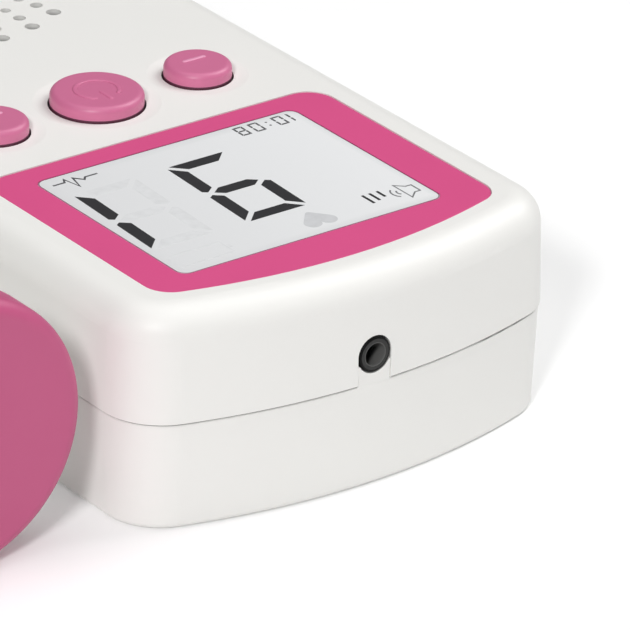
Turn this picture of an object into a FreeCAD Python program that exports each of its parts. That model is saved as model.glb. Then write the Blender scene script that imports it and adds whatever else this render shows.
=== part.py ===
"""Fetal doppler monitor: a hand-held main unit lying on its back, with its probe in a side clip.

Millimetres.  +Z is up, +Y is the display end of the unit, +X is the side that carries the probe.
The origin is on the floor under the middle of the main unit.
"""
import math
import os

import FreeCAD
import Part

V = FreeCAD.Vector

# ------------------------------------------------------------------ driving dimensions
UNIT_LENGTH = 136.0          # main unit, display end to tail
UNIT_HEIGHT = 34.9           # floor to the top face
SEAM_HEIGHT = 17.3           # floor to the parting line
HALF_WIDTH = 38.9            # half the width at the display end, on the parting line
SIDE_TAPER = 0.004           # half width lost per millimetre towards the tail
FRONT_BOW = 110.0            # radius of the bowed display-end wall
TAIL_BOW = 75.0              # radius of the bowed tail wall
FRONT_CORNER = 10.0          # plan radius of the two display-end corners
TAIL_CORNER = 19.0           # plan radius of the two tail corners
TOP_DRAFT = 0.6              # how far the top shell leans in, parting line to top face
BOTTOM_DRAFT = 0.5           # how far the bottom shell leans in, parting line to floor
SEAM_STEP = 0.25             # the bottom shell stands in by this at the parting line
SEAM_ROUND = 0.45            # rounding of the bottom shell's edge along the parting line
SEAM_BREAK = 0.2             # and of the top shell's edge
TOP_ROUND = 4.8              # rounding of the rim round the top face
BOTTOM_ROUND = 1.2           # rounding round the bottom face
WALL = 2.0                   # side walls of both shells
CEILING = 2.4                # top wall
FLOOR = 2.6                  # bottom wall
LIP_HEIGHT = 1.4             # tongue of the bottom shell inside the top shell
LIP_PLAY = 0.1               # round that tongue
RIB_ROWS = (10.0, 22.0, 34.0, 46.0)     # Y of the stiffening ribs on the floor
RIB_THICK = 1.2
RIB_HEIGHT = 2.5
RIB_MARGIN = 8.0             # ribs end this far inside the sides

BEZEL_HALF_WIDTH = 31.0      # coloured surround of the display
BEZEL_LENGTH = 50.15         # its straight edge to the top of its bowed edge
BEZEL_SET_BACK = 7.1         # display end of the unit to that bowed edge
BEZEL_BOW = 99.0             # radius of the bowed edge
BEZEL_CORNER = 4.5
BEZEL_THICK = 1.2
BEZEL_SINK = 0.08            # the surround lies this far below the top face
BEZEL_GAP = 0.1              # round the surround in its recess
BEZEL_CHAMFER = 0.12
BEZEL_LIP = 0.35             # thin rim of the surround over the lens
WINDOW_WIDTH = 47.9          # visible part of the display
WINDOW_HEIGHT = 37.75
WINDOW_SET_BACK = 27.0       # its middle, behind the surround's bowed edge
WINDOW_SIDE = 0.5            # and off the middle of the unit
WINDOW_CORNER = 1.8
LENS_MARGIN = 1.4            # the lens is hidden by this on each side
LENS_CLEAR = 0.04            # round the flange of the lens
LENS_EDGE_GAP = 0.1          # round the face of the lens
LENS_SINK = 0.03             # face of the lens below the surround
GLASS_MARGIN = 1.9           # the display glass is hidden by this on each side
GLASS_THICK = 2.2
BACKLIGHT_THICK = 1.6
GLASS_PLAY = 0.2             # round the glass in its tray and in the top shell
GLASS_HOLE_CORNER = 0.4
GLASS_LEDGE = 1.2            # the lower glass plate reaches out by this, for its contacts
TRAY_WALL = 1.6
TRAY_BASE = 1.2
TRAY_LEDGE = 2.0             # the tray's floor carries the glass on this much
ZEBRA_WIDTH = 1.8            # contact rubber between glass and board
ZEBRA_INSET = 0.9            # from the tray's wall
ZEBRA_END = 5.0              # short of the tray's sides by this
ZEBRA_PLAY = 0.1
LIGHT_PLAY = 0.1             # round the light guide in its tray
LIGHT_SET_BACK = 0.6         # contact rubber to light guide

KEY_SHIFT = 0.675            # the keys lie this far off midway between surround and speaker
KEY_PITCH = 18.9             # middle key to each outer key
POWER_HOLE = 7.55            # hole radii
SIDE_HOLE = 5.6
KEY_GAP = 0.3                # round each key
KEY_RISE = 2.1               # key top above the top face
KEY_ROUND = 1.0
KEY_FLANGE = 1.2             # retaining flange, wider than the hole
KEY_FLANGE_THICK = 1.0
KEY_TRAVEL = 0.5
KEY_DISH = 2.3               # width of the shallow dish round each key hole
KEY_DISH_DEPTH = 0.3
KEY_STEM_RADIUS = 2.4
SWITCH_SIDE = 6.2
SWITCH_HEIGHT = 3.2
SWITCH_FLOOR = 1.0
PLUNGER_RADIUS = 1.7
PLUNGER_PLAY = 0.06
PLUNGER_RISE = 0.9           # above the switch
PLUNGER_SPARE = 0.15         # left under the plunger when it is down

GRILLE_CENTRE = -57.3        # Y of the centre of the rows of sound holes
GRILLE_ROWS = ((26.5, 1.2), (23.0, 1.0), (19.6, 0.85), (16.4, 0.7))  # row radius, hole radius
GRILLE_BEARING = 90.0        # degrees from +X to the middle of the rows
GRILLE_STEP = 14.2           # degrees from hole to hole
GRILLE_TWIST = 3.3           # degrees each row turns against the one outside it
GRILLE_HALF_COUNT = 2        # holes on each side of the middle hole
SPEAKER_Y = -36.5
SPEAKER_RADIUS = 18.0
SPEAKER_DEPTH = 5.4
SPEAKER_PLAY = 0.2           # round the speaker in its locating ring
COLLAR_WALL = 1.2            # of the locating ring
COLLAR_DEPTH = 2.4
BASKET_RIM = 2.0             # flange of the speaker's basket
BASKET_RIM_DEPTH = 2.2
BASKET_THICK = 1.4
BASKET_SHOULDER = 1.0
BASKET_HOLE = 5.0
MAGNET_RADIUS = 10.5
MAGNET_THICK = 4.2
MAGNET_ROUND = 0.5
POLE_RADIUS = 3.6
POLE_RISE = 1.9
COIL_RADIUS = 4.6
COIL_THICK = 0.6
COIL_LIFT = 0.4
CONE_THICK = 0.5
CONE_DEPTH = 2.9             # rim to neck
CONE_NECK = 5.4
CONE_RIM = 0.6               # flat glued ring
CONE_RIM_DROP = 0.2
CONE_ROLL = 1.3              # width of the half roll inside that ring
CONE_ROLL_RISE = 0.4
DUST_CAP_RISE = 1.3
GASKET_THICK = 0.8
GASKET_WIDTH = 2.2

JACK_RISE = 4.5              # centre of the headphone socket above the parting line
JACK_SIDE = 0.6              # and off the middle
JACK_HOLE = 3.0
JACK_GAP = 0.2
JACK_BORE = 1.8
JACK_PROUD = 0.05            # its face stands out of the wall by this
JACK_TONGUE_DROP = 1.4       # top of the bottom shell's tongue below the socket's centre
JACK_BORE_DEPTH = 13.6
JACK_WIDTH = 11.0            # of the socket's body
JACK_LENGTH = 13.5
JACK_WALL_GAP = 0.3          # between the body and the front wall
JACK_END_WALL = 1.0
JACK_FIT = 0.05              # round the sleeve in the body
JACK_STEP = 0.25             # the shank of the sleeve is slimmer than its nose by this
JACK_ROUND = 0.3
TONGUE_PLAY = 0.07           # on each side of the tongue in its slot
TONGUE_SINK = 0.02           # its face below the wall of the bottom shell
TONGUE_ROOT = 1.2            # it starts this far below the parting line

BOARD_THICK = 1.6
BOARD_SIDE_GAP = 2.8         # board to the side walls
BOARD_CORNER = 2.0
BOARD_TAIL_REACH = 11.3      # the board runs this far past the keys
BOARD_BOSS_GAP = 0.9         # and ends this far before the two front bosses
BOARD_TAB_GAP = 4.0          # between those bosses it reaches on, clear of them by this
BOARD_TAB_SET_BACK = 6.5     # to this far from the display end
BOARD_DROP = 8.3             # top face of the unit down to the top of the main board
CONTROLLER = (0.0, 24.0, 12.0, 10.0, 1.6)        # chips: X, Y, width, depth, height
AMPLIFIER = (-16.0, 14.0, 7.0, 4.4, 1.5)
RECEIVER = (17.0, 14.0, 7.0, 4.4, 1.5)
CONTROLLER_LEAD_COUNT = 10   # leads on each side
SMALL_CHIP_LEAD_COUNT = 6
LEAD_WIDTH = 0.4
LEAD_REACH = 1.0
LEAD_THICK = 0.3
LEAD_INSET = 0.8             # first lead from the end of the chip
CHIP_STANDOFF = 0.12
CAPACITOR_COUNT = 3
CAPACITOR_RADIUS = 2.6
CAPACITOR_HEIGHT = 6.0
CAPACITOR_PITCH = 7.0
CAPACITOR_X = -24.0          # first of the row
CAPACITOR_Y = -8.5
CAN_ROUND = 0.5
CRYSTAL_CAN_X = 13.0
CRYSTAL_CAN_Y = -8.75
CRYSTAL_CAN_LENGTH = 10.0
CRYSTAL_CAN_WIDTH = 4.5
CRYSTAL_CAN_HEIGHT = 3.4
CRYSTAL_CAN_ROUND = 1.8

CELL_RADIUS = 7.1
CELL_LENGTH = 49.2
CELL_NUB = 1.2
CELL_NUB_RADIUS = 2.7
CELL_ROUND = 0.6
CELL_PITCH = 14.8
CELL_HEIGHT = 9.6            # cell axis above the floor
CELL_GAP = 0.4               # round the pair of cells
SPRING_LENGTH = 4.0
SPRING_RADIUS = 3.6          # to the middle of the wire
SPRING_WIRE = 0.5            # radius of the wire
SPRING_TURN_COUNT = 2
CONTACT_THICK = 0.5
CONTACT_HALF_HEIGHT = 5.2
CONTACT_GAP = 2.0            # between the two terminals
CONTACT_MARGIN = 0.2         # to the side walls of the bay
BAY_SET_BACK = 6.0           # tail end of the unit to the battery bay
BAY_WALL = 1.2
DOOR_THICK = 1.8
DOOR_MARGIN = 2.4            # the door is wider than the bay by this on each side
DOOR_RAIL = 1.0
DOOR_RAIL_SET_BACK = 12.0    # the rails start this far from the tail end
DOOR_RAIL_SHORT = 4.0        # and stop this far short of the door's end
DOOR_GAP = 0.1
GRIP_COUNT = 5
GRIP_HALF_WIDTH = 9.0
GRIP_SET_BACK = 8.0
GRIP_PITCH = 2.4
GRIP_WIDTH = 1.0
GRIP_DEPTH = 0.4

FRONT_SCREW_X = 31.0
FRONT_SCREW_SET_BACK = 12.6  # case screws from the ends of the unit
TAIL_SCREW_X = 25.6
TAIL_SCREW_SET_BACK = 12.8
BOARD_SCREW_INSETS = (3.9, 1.9)      # board screws from the board's side
BOARD_SCREW_STEPS = (7.7, -6.3)      # and from the key row
BOSS_RADIUS = 3.0
BOARD_BOSS_RADIUS = 2.6
BOTTOM_BOSS_RADIUS = 3.6
SCREW_RADIUS = 1.2
SCREW_HEAD_RADIUS = 2.3
SCREW_HEAD_THICK = 1.5
SCREW_PLAY = 0.02            # screw shank in the hole it bites
SCREW_PASS = 0.15            # screw shank in a clear hole
SCREW_HEAD_PLAY = 0.25
SCREW_SINK = 3.4             # depth of the case-screw counterbores
SCREW_TIP_ROOM = 1.0         # blind holes are deeper than their screws by this
SCREW_SLOT = (2.8, 0.6, 0.7)         # cross slot: length, width, depth
CASE_SCREW_BITE = 7.5        # in the boss of the top shell
BOARD_SCREW_LENGTH = 5.0

SOCKET_DROP = 9.8            # top face down to the probe-cable socket in the tail wall
SOCKET_RADIUS = 3.6
SOCKET_BORE = 1.75
SOCKET_END_WALL = 2.0        # behind the bore
SOCKET_RECESS = 0.25         # its face inside the tail end
SOCKET_COLLAR = (10.0, 9.2)  # width and height of the block inside the wall
SOCKET_WALL_GAP = 0.6
SOCKET_PLAY = 0.05           # round the barrel in the wall
SOCKET_SPEAKER_GAP = 1.25

PROBE_X = 67.1               # probe axis
PROBE_Z = 22.4
PROBE_FACE = 58.6            # Y of its flat face
PROBE_RADIUS = 21.5          # head
PROBE_CAP_DEPTH = 7.0        # coloured cap of the head
PROBE_CAP_ROUND = 2.2
PROBE_SKIRT = 1.9            # skirt of the cap inside the shell
PROBE_WINDOW = 2.2           # wall of the cap in front of the crystals
PROBE_WALL = 2.0
PROBE_NECK = 12.0            # radius of the handle
PROBE_HEAD_DEPTH = 22.0      # face to the start of the straight handle
PROBE_LENGTH = 112.0
PROBE_TAIL_ROUND = 4.0
PROBE_SPLIT = 0.04           # between the two halves of its shell
PROBE_STEP = 0.4             # the shell is slimmer than the cap by this
PROBE_LAND = 2.0             # straight stretch of the shell behind the cap
PROBE_SCREW_SETS = (34.0, 18.0)      # its two screws, behind the face and before the tail
PROBE_INNER_ROUND = 0.5
PROFILE_STEP_COUNT = 8       # points along the flare from head to handle
PROBE_SCREW_SINK = 2.5
PROBE_SCREW_BITE = 5.8
PROBE_POST_RADIUS = 2.6
CAP_WALL = 1.6
CAP_PLAY = 0.05              # cap skirt in the shell
BACKING_THICK = 4.0
BACKING_PLAY = 0.1
PROBE_BOARD_RISE = 4.0       # above the probe's axis
PROBE_BOARD_THICK = 1.5
PROBE_BOARD_TAIL = 6.0       # the board starts this far before the tail screw
PROBE_BOARD_FRONT = 6.0      # and runs this far past the front one
GLAND_RADIUS = 5.0
GLAND_BORE = 2.0
GLAND_LENGTH = 4.0
GLAND_PROUD = 0.8            # outside the handle's end
GLAND_FLANGE = 1.4           # wider than the gland
GLAND_FLANGE_THICK = 1.6
CRYSTAL_RADIUS = 9.5
CRYSTAL_THICK = 1.2
CRYSTAL_GAP = 1.2            # between the two half discs

CLIP_FROM = -24.0            # Y of the two ends of the probe clip
CLIP_TO = 4.0
CLIP_PLAY = 0.3              # clip bore round the handle
CLIP_WALL = 2.4
CLIP_OPENING = 100.0         # degrees of the open side, facing away from the unit
CLIP_BASE = 3.0
CLIP_WEB = 8.0               # height of the web between base and ring
CLIP_FOOT_LOW = 1.2          # foot of the clip above the parting line
CLIP_FOOT_HIGH = 1.5         # and below the rounding of the rim
CLIP_SCREW_INSET = 6.0       # from the ends of the clip
CLIP_SCREW_RISE = 4.6        # clip screws above the parting line
CLIP_SCREW_LENGTH = 6.5

SEAT_GAP = 0.02              # between a part and the face it is drawn against
STACK_GAP = 0.05             # between parts stacked on each other
INNER_ROUND = 0.8            # rounding inside the bottom shell
EMBED = 0.5                  # what is joined to a wall starts this deep in it
OVER = 1.0                   # cutters run past a face by this
SLIVER = 0.001               # keeps a cutter's face off the face that it ends on

# ------------------------------------------------------------------ dependent dimensions
TOP = UNIT_HEIGHT
INNER_TOP = TOP - CEILING
Y_FRONT = UNIT_LENGTH / 2
Y_TAIL = -UNIT_LENGTH / 2
BEZEL_TOP = TOP - BEZEL_SINK
BEZEL_BASE = BEZEL_TOP - BEZEL_THICK
BEZEL_NEAR = Y_FRONT - BEZEL_SET_BACK
BEZEL_FAR = BEZEL_NEAR - BEZEL_LENGTH
WINDOW_MIDDLE = BEZEL_NEAR - WINDOW_SET_BACK
KEY_ROW = (BEZEL_FAR + SPEAKER_Y + SPEAKER_RADIUS) / 2 + KEY_SHIFT
GLASS_TOP = BEZEL_BASE - STACK_GAP
GLASS_BASE = GLASS_TOP - GLASS_THICK
TRAY_FLOOR = GLASS_BASE - BACKLIGHT_THICK
BOARD_TOP = TOP - BOARD_DROP
BOARD_BASE = BOARD_TOP - BOARD_THICK
JACK_HEIGHT = SEAM_HEIGHT + JACK_RISE
SOCKET_HEIGHT = TOP - SOCKET_DROP
CLIP_SCREW_Z = SEAM_HEIGHT + CLIP_SCREW_RISE
BOARD_HALF_WIDTH = HALF_WIDTH - WALL - TOP_DRAFT - BOARD_SIDE_GAP
FRONT_SCREW_Y = Y_FRONT - FRONT_SCREW_SET_BACK
BOARD_TAIL = KEY_ROW - BOARD_TAIL_REACH
BOARD_FRONT = FRONT_SCREW_Y - BOSS_RADIUS - BOARD_BOSS_GAP
BOARD_TAB_HALF_WIDTH = FRONT_SCREW_X - BOSS_RADIUS - BOARD_TAB_GAP
BOARD_TAB_FRONT = Y_FRONT - BOARD_TAB_SET_BACK
CASE_SCREWS = (              # one of each mirrored pair
    (FRONT_SCREW_X, FRONT_SCREW_Y),
    (TAIL_SCREW_X, Y_TAIL + TAIL_SCREW_SET_BACK),
)
BOARD_SCREWS = tuple((BOARD_HALF_WIDTH - inset, KEY_ROW + step)
                     for inset, step in zip(BOARD_SCREW_INSETS, BOARD_SCREW_STEPS))
SOCKET_FACE = Y_TAIL + SOCKET_RECESS
SOCKET_END = SPEAKER_Y - SPEAKER_RADIUS - SOCKET_SPEAKER_GAP
JACK_FRONT = Y_FRONT - WALL - TOP_DRAFT - JACK_WALL_GAP
SHANK_RADIUS = JACK_HOLE - JACK_GAP - JACK_STEP
SLEEVE_FACE = Y_FRONT - TOP_DRAFT * JACK_RISE / (TOP - SEAM_HEIGHT) + JACK_PROUD
BAY_TAIL = Y_TAIL + BAY_SET_BACK
BAY_HALF_WIDTH = CELL_PITCH / 2 + CELL_RADIUS + CELL_GAP
CONTACT_REACH = BAY_HALF_WIDTH - CONTACT_MARGIN
BAY_FRONT = BAY_TAIL + CELL_LENGTH + CELL_NUB + SPRING_LENGTH + 2 * CONTACT_THICK
BAY_ROOF = CELL_HEIGHT + CELL_RADIUS + CELL_GAP
DOOR_HALF_WIDTH = BAY_HALF_WIDTH + DOOR_MARGIN
DOOR_FRONT = BAY_FRONT + DOOR_MARGIN
KEYS = (
    ("power_key", 0.0, POWER_HOLE),
    ("plus_key", KEY_PITCH, SIDE_HOLE),
    ("minus_key", -KEY_PITCH, SIDE_HOLE),
)
PLUNGER_TOP = BOARD_TOP + SWITCH_HEIGHT + PLUNGER_RISE
PROBE_SHELL_RADIUS = PROBE_RADIUS - PROBE_STEP
PROBE_TAIL = PROBE_FACE - PROBE_LENGTH
CAP_SKIRT_RADIUS = PROBE_SHELL_RADIUS - PROBE_WALL - CAP_PLAY
CRYSTAL_BACK = PROBE_FACE - PROBE_WINDOW - CRYSTAL_THICK


# ------------------------------------------------------------------ small builders
def block(x0, x1, y0, y1, z0, z1):
    return Part.makeBox(x1 - x0, y1 - y0, z1 - z0, V(x0, y0, z0))


def rod(radius, length, base, axis=V(0, 0, 1)):
    return Part.makeCylinder(radius, length, V(*base), axis)


def tube(outer, inner, length, base, axis=V(0, 0, 1)):
    return rod(outer, length, base, axis).cut(rod(inner, length, base, axis))


def rounded_block(x0, x1, y0, y1, z0, z1, radius):
    solid = block(x0, x1, y0, y1, z0, z1)
    upright = [e for e in solid.Edges if abs(e.tangentAt(e.FirstParameter).z) > 0.9]
    return solid.makeFillet(radius, upright)


def turned(points, base):
    """Solid of revolution about an upright axis.  points are (radius, height)."""
    flat = [V(r, 0, d) for r, d in points]
    face = Part.Face(Part.makePolygon(flat + [flat[0]]))
    solid = face.revolve(V(0, 0, 0), V(0, 0, 1), 360)
    solid.translate(V(*base))
    return solid


def mirrored(points):
    return [(sign * x, y) for x, y in points for sign in (1, -1)]


def joined(shapes):
    first = shapes[0]
    return first.fuse(shapes[1:]).removeSplitter() if len(shapes) > 1 else first


# ------------------------------------------------------------------ plan outline of the unit
def corner_centre(bow_centre_y, bow, corner, towards_front):
    """Centre of a corner arc that runs smoothly into the side line and the bowed end."""
    scale = math.hypot(1.0, SIDE_TAPER)
    normal = V(1 / scale, -SIDE_TAPER / scale, 0)
    along = V(SIDE_TAPER / scale, 1 / scale, 0)
    reach = (HALF_WIDTH - SIDE_TAPER * Y_FRONT) / scale - corner
    foot = normal * reach - V(0, bow_centre_y, 0)
    b = foot.dot(along)
    c = foot.dot(foot) - (bow - corner) ** 2
    root = math.sqrt(b * b - c)
    t = -b + root if towards_front else -b - root
    return normal * reach + along * t, normal


def outline(inset, z):
    """Closed wire of the unit's plan, drawn in by inset, at height z."""
    front_mid = V(0, Y_FRONT - FRONT_BOW, 0)
    tail_mid = V(0, Y_TAIL + TAIL_BOW, 0)
    front, normal = corner_centre(front_mid.y, FRONT_BOW, FRONT_CORNER, True)
    tail, normal = corner_centre(tail_mid.y, TAIL_BOW, TAIL_CORNER, False)
    to_front = (front - front_mid).normalize()
    to_tail = (tail - tail_mid).normalize()
    rf = FRONT_CORNER - inset
    rt = TAIL_CORNER - inset
    a = front_mid + to_front * (FRONT_BOW - inset)
    b = front + (to_front + normal).normalize() * rf
    c = front + normal * rf
    d = tail + normal * rt
    e = tail + (to_tail + normal).normalize() * rt
    f = tail_mid + to_tail * (TAIL_BOW - inset)
    lift = V(0, 0, z)

    def flip(p):
        return V(-p.x, p.y, p.z)

    a, b, c, d, e, f = [p + lift for p in (a, b, c, d, e, f)]
    top = V(0, Y_FRONT - inset, z)
    low = V(0, Y_TAIL + inset, z)
    edges = [
        Part.Arc(flip(a), top, a).toShape(),
        Part.Arc(a, b, c).toShape(),
        Part.makeLine(c, d),
        Part.Arc(d, e, f).toShape(),
        Part.Arc(f, low, flip(f)).toShape(),
        Part.Arc(flip(f), flip(e), flip(d)).toShape(),
        Part.makeLine(flip(d), flip(c)),
        Part.Arc(flip(c), flip(b), flip(a)).toShape(),
    ]
    return Part.Wire(edges)


def drafted(inset_low, z_low, inset_high, z_high):
    return Part.makeLoft([outline(inset_low, z_low), outline(inset_high, z_high)], True, True)


def rim_edges(solid, z):
    return [e for e in solid.Edges if all(abs(v.Point.z - z) < 1e-4 for v in e.Vertexes)]


def end_edges(solid, y):
    return [e for e in solid.Edges if all(abs(v.Point.y - y) < 1e-6 for v in e.Vertexes)]


def prism(inset, z0, z1):
    return Part.Face(outline(inset, z0)).extrude(V(0, 0, z1 - z0))


def top_hull(shrink, z_low, z_high, rounding):
    """Outer form of the top shell, drawn in by shrink on the sides."""
    slope = TOP_DRAFT / (TOP - SEAM_HEIGHT)
    solid = drafted(shrink + slope * (z_low - SEAM_HEIGHT), z_low,
                    shrink + slope * (z_high - SEAM_HEIGHT), z_high)
    return solid.makeFillet(rounding, rim_edges(solid, z_high))


def bottom_form(shrink, z_low, z_high):
    """Sides of the bottom shell, drawn in by shrink, between two heights."""
    slope = BOTTOM_DRAFT / SEAM_HEIGHT
    return drafted(shrink + SEAM_STEP + slope * (SEAM_HEIGHT - z_low), z_low,
                   shrink + SEAM_STEP + slope * (SEAM_HEIGHT - z_high), z_high)


def bottom_hull(shrink, z_low, z_high, rounding):
    solid = bottom_form(shrink, z_low, z_high)
    return solid.makeFillet(rounding, rim_edges(solid, z_low))


# ------------------------------------------------------------------ display surround
def bezel_outline(grow, z):
    """The surround's outline, grown by grow: straight far edge, bowed near edge."""
    half = BEZEL_HALF_WIDTH + grow
    far = BEZEL_FAR - grow
    bow = BEZEL_BOW + grow
    mid_y = BEZEL_NEAR + grow - bow
    r = BEZEL_CORNER + grow
    cx = half - r
    cy = mid_y + math.sqrt((bow - r) ** 2 - cx ** 2)
    near = V(cx, cy, z)
    to_near = (near - V(0, mid_y, z)).normalize()
    a = V(0, mid_y, z) + to_near * bow
    b = near + (to_near + V(1, 0, 0)).normalize() * r
    c = V(half, cy, z)
    d = V(half, far + r, z)
    s = math.sqrt(0.5) * r
    e = V(cx + s, far + r - s, z)
    f = V(cx, far, z)

    def flip(p):
        return V(-p.x, p.y, p.z)

    return Part.Wire([
        Part.Arc(flip(a), V(0, BEZEL_NEAR + grow, z), a).toShape(),
        Part.Arc(a, b, c).toShape(),
        Part.makeLine(c, d),
        Part.Arc(d, e, f).toShape(),
        Part.makeLine(f, flip(f)),
        Part.Arc(flip(f), flip(e), flip(d)).toShape(),
        Part.makeLine(flip(d), flip(c)),
        Part.Arc(flip(c), flip(b), flip(a)).toShape(),
    ])


def window_block(margin, z0, z1, radius, side=0.0):
    """Block over the window and a margin round it, with its middle at X = side."""
    half = WINDOW_WIDTH / 2 + margin
    reach = WINDOW_HEIGHT / 2 + margin
    return rounded_block(side - half, side + half, WINDOW_MIDDLE - reach, WINDOW_MIDDLE + reach,
                         z0, z1, radius)


def display_bezel():
    plate = Part.Face(bezel_outline(0, BEZEL_BASE)).extrude(V(0, 0, BEZEL_THICK))
    plate = plate.makeChamfer(BEZEL_CHAMFER, rim_edges(plate, BEZEL_TOP))
    plate = plate.cut(window_block(0, BEZEL_BASE - OVER, BEZEL_TOP + OVER, WINDOW_CORNER, WINDOW_SIDE))
    return plate.cut(window_block(LENS_MARGIN, BEZEL_BASE - OVER, BEZEL_TOP - BEZEL_LIP, WINDOW_CORNER))


def display_lens():
    """Stepped lens: a flange under the surround's lip and a face nearly flush with the surround."""
    flange_top = BEZEL_TOP - BEZEL_LIP - LENS_CLEAR
    flange = window_block(LENS_MARGIN - LENS_CLEAR, BEZEL_BASE + LENS_CLEAR, flange_top,
                          WINDOW_CORNER - LENS_CLEAR)
    face = window_block(-LENS_EDGE_GAP, BEZEL_BASE + LENS_CLEAR, BEZEL_TOP - LENS_SINK,
                        WINDOW_CORNER - LENS_EDGE_GAP, WINDOW_SIDE)
    return joined([flange, face])


def lcd_glass():
    """Two bonded glass plates; the lower one has a contact ledge on the far side."""
    half = WINDOW_WIDTH / 2 + GLASS_MARGIN
    reach = WINDOW_HEIGHT / 2 + GLASS_MARGIN
    low = WINDOW_MIDDLE - reach
    high = WINDOW_MIDDLE + reach
    lower = block(-half, half, low, high, GLASS_BASE, GLASS_BASE + GLASS_THICK / 2)
    upper = block(-half, half, low + GLASS_LEDGE, high, GLASS_BASE + GLASS_THICK / 2, GLASS_TOP)
    return joined([lower, upper])


def tray_extent():
    margin = GLASS_MARGIN + GLASS_PLAY + TRAY_WALL
    half = WINDOW_WIDTH / 2 + margin
    reach = WINDOW_HEIGHT / 2 + margin
    return half, WINDOW_MIDDLE - reach, WINDOW_MIDDLE + reach


def zebra_space(grow):
    half, low, high = tray_extent()
    x = half - ZEBRA_END + grow
    y = low + TRAY_WALL + ZEBRA_INSET
    return block(-x, x, y - grow, y + ZEBRA_WIDTH + grow, BOARD_TOP, GLASS_BASE)


def lcd_tray():
    half, low, high = tray_extent()
    tray = block(-half, half, low, high, BOARD_TOP, INNER_TOP - STACK_GAP)
    inner = half - TRAY_WALL
    tray = tray.cut(block(-inner, inner, low + TRAY_WALL, high - TRAY_WALL, TRAY_FLOOR, INNER_TOP))
    open_half = inner - TRAY_LEDGE
    open_low = low + TRAY_WALL + ZEBRA_INSET + ZEBRA_WIDTH + TRAY_LEDGE
    tray = tray.cut(block(-open_half, open_half, open_low, high - TRAY_WALL - TRAY_LEDGE,
                          BOARD_TOP - OVER, TRAY_FLOOR - TRAY_BASE))
    return tray.cut(zebra_space(ZEBRA_PLAY))


def lcd_backlight():
    half, low, high = tray_extent()
    x = half - TRAY_WALL - LIGHT_PLAY
    near = low + TRAY_WALL + ZEBRA_INSET + ZEBRA_WIDTH + LIGHT_SET_BACK
    return block(-x, x, near, high - TRAY_WALL - LIGHT_PLAY, TRAY_FLOOR, GLASS_BASE)


# ------------------------------------------------------------------ main shells
def case_boss(x, y):
    low = SEAM_HEIGHT + STACK_GAP
    return rod(BOSS_RADIUS, INNER_TOP + EMBED - low, (x, y, low))


def grille_holes():
    holes = []
    for row, (row_radius, hole_radius) in enumerate(GRILLE_ROWS):
        middle = GRILLE_BEARING + GRILLE_TWIST * (row + 1)
        for k in range(-GRILLE_HALF_COUNT, GRILLE_HALF_COUNT + 1):
            angle = math.radians(middle + k * GRILLE_STEP)
            x = row_radius * math.cos(angle)
            y = GRILLE_CENTRE + row_radius * math.sin(angle)
            holes.append(rod(hole_radius, CEILING + 2 * OVER, (x, y, INNER_TOP - OVER)))
    return holes


def jack_opening():
    """Cutter for the round hole of the headphone socket."""
    return rod(JACK_HOLE, Y_FRONT - JACK_FRONT + 2 * OVER, (JACK_SIDE, JACK_FRONT - OVER, JACK_HEIGHT),
               V(0, 1, 0))


def key_opening(x, hole):
    """Cutters for a key's hole and for the shallow dish round it."""
    through = rod(hole, CEILING + 2 * OVER, (x, KEY_ROW, INNER_TOP - OVER))
    dish = Part.makeCone(hole, hole + KEY_DISH, KEY_DISH_DEPTH, V(x, KEY_ROW, TOP - KEY_DISH_DEPTH + SLIVER))
    return [through, dish]


def top_shell():
    shell = top_hull(0, SEAM_HEIGHT, TOP, TOP_ROUND)
    shell = shell.makeFillet(SEAM_BREAK, rim_edges(shell, SEAM_HEIGHT))
    shell = shell.cut(top_hull(WALL, SEAM_HEIGHT - OVER, INNER_TOP, TOP_ROUND - WALL))
    adds = [case_boss(x, y) for x, y in mirrored(CASE_SCREWS)]
    for x, y in mirrored(BOARD_SCREWS):
        adds.append(rod(BOARD_BOSS_RADIUS, INNER_TOP + EMBED - BOARD_TOP, (x, y, BOARD_TOP)))
    ring = SPEAKER_RADIUS + SPEAKER_PLAY
    adds.append(tube(ring + COLLAR_WALL, ring, COLLAR_DEPTH + EMBED,
                     (0, SPEAKER_Y, INNER_TOP - COLLAR_DEPTH)))
    shell = joined([shell] + adds)
    low = SEAM_HEIGHT - OVER
    groove_top = SEAM_HEIGHT + LIP_HEIGHT + LIP_PLAY
    cuts = [prism(WALL / 2, low, groove_top).cut(prism(WALL + TOP_DRAFT, low, groove_top))]
    for x, y in mirrored(CASE_SCREWS):
        cuts.append(rod(SCREW_RADIUS + SCREW_PLAY, OVER + CASE_SCREW_BITE + SCREW_TIP_ROOM, (x, y, low)))
    board_hole = OVER + BOARD_SCREW_LENGTH - BOARD_THICK + SCREW_TIP_ROOM
    for x, y in mirrored(BOARD_SCREWS):
        cuts.append(rod(SCREW_RADIUS + SCREW_PLAY, board_hole, (x, y, BOARD_TOP - OVER)))
    cuts.append(Part.Face(bezel_outline(BEZEL_GAP, BEZEL_BASE)).extrude(V(0, 0, BEZEL_THICK + OVER)))
    cuts.append(window_block(GLASS_MARGIN + GLASS_PLAY, INNER_TOP - OVER, TOP + OVER, GLASS_HOLE_CORNER))
    for name, x, hole in KEYS:
        cuts += key_opening(x, hole)
    cuts += grille_holes()
    cuts.append(jack_opening())
    cuts.append(block(JACK_SIDE - JACK_HOLE, JACK_SIDE + JACK_HOLE, JACK_FRONT - OVER, Y_FRONT + OVER,
                      low, JACK_HEIGHT))
    cuts.append(rod(SOCKET_RADIUS + SOCKET_PLAY, WALL + TOP_DRAFT + 2 * OVER,
                    (0, Y_TAIL - OVER, SOCKET_HEIGHT), V(0, 1, 0)))
    for y in clip_screw_rows():
        cuts.append(clip_screw_hole(y))
    return shell.cut(Part.makeCompound(cuts))


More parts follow.
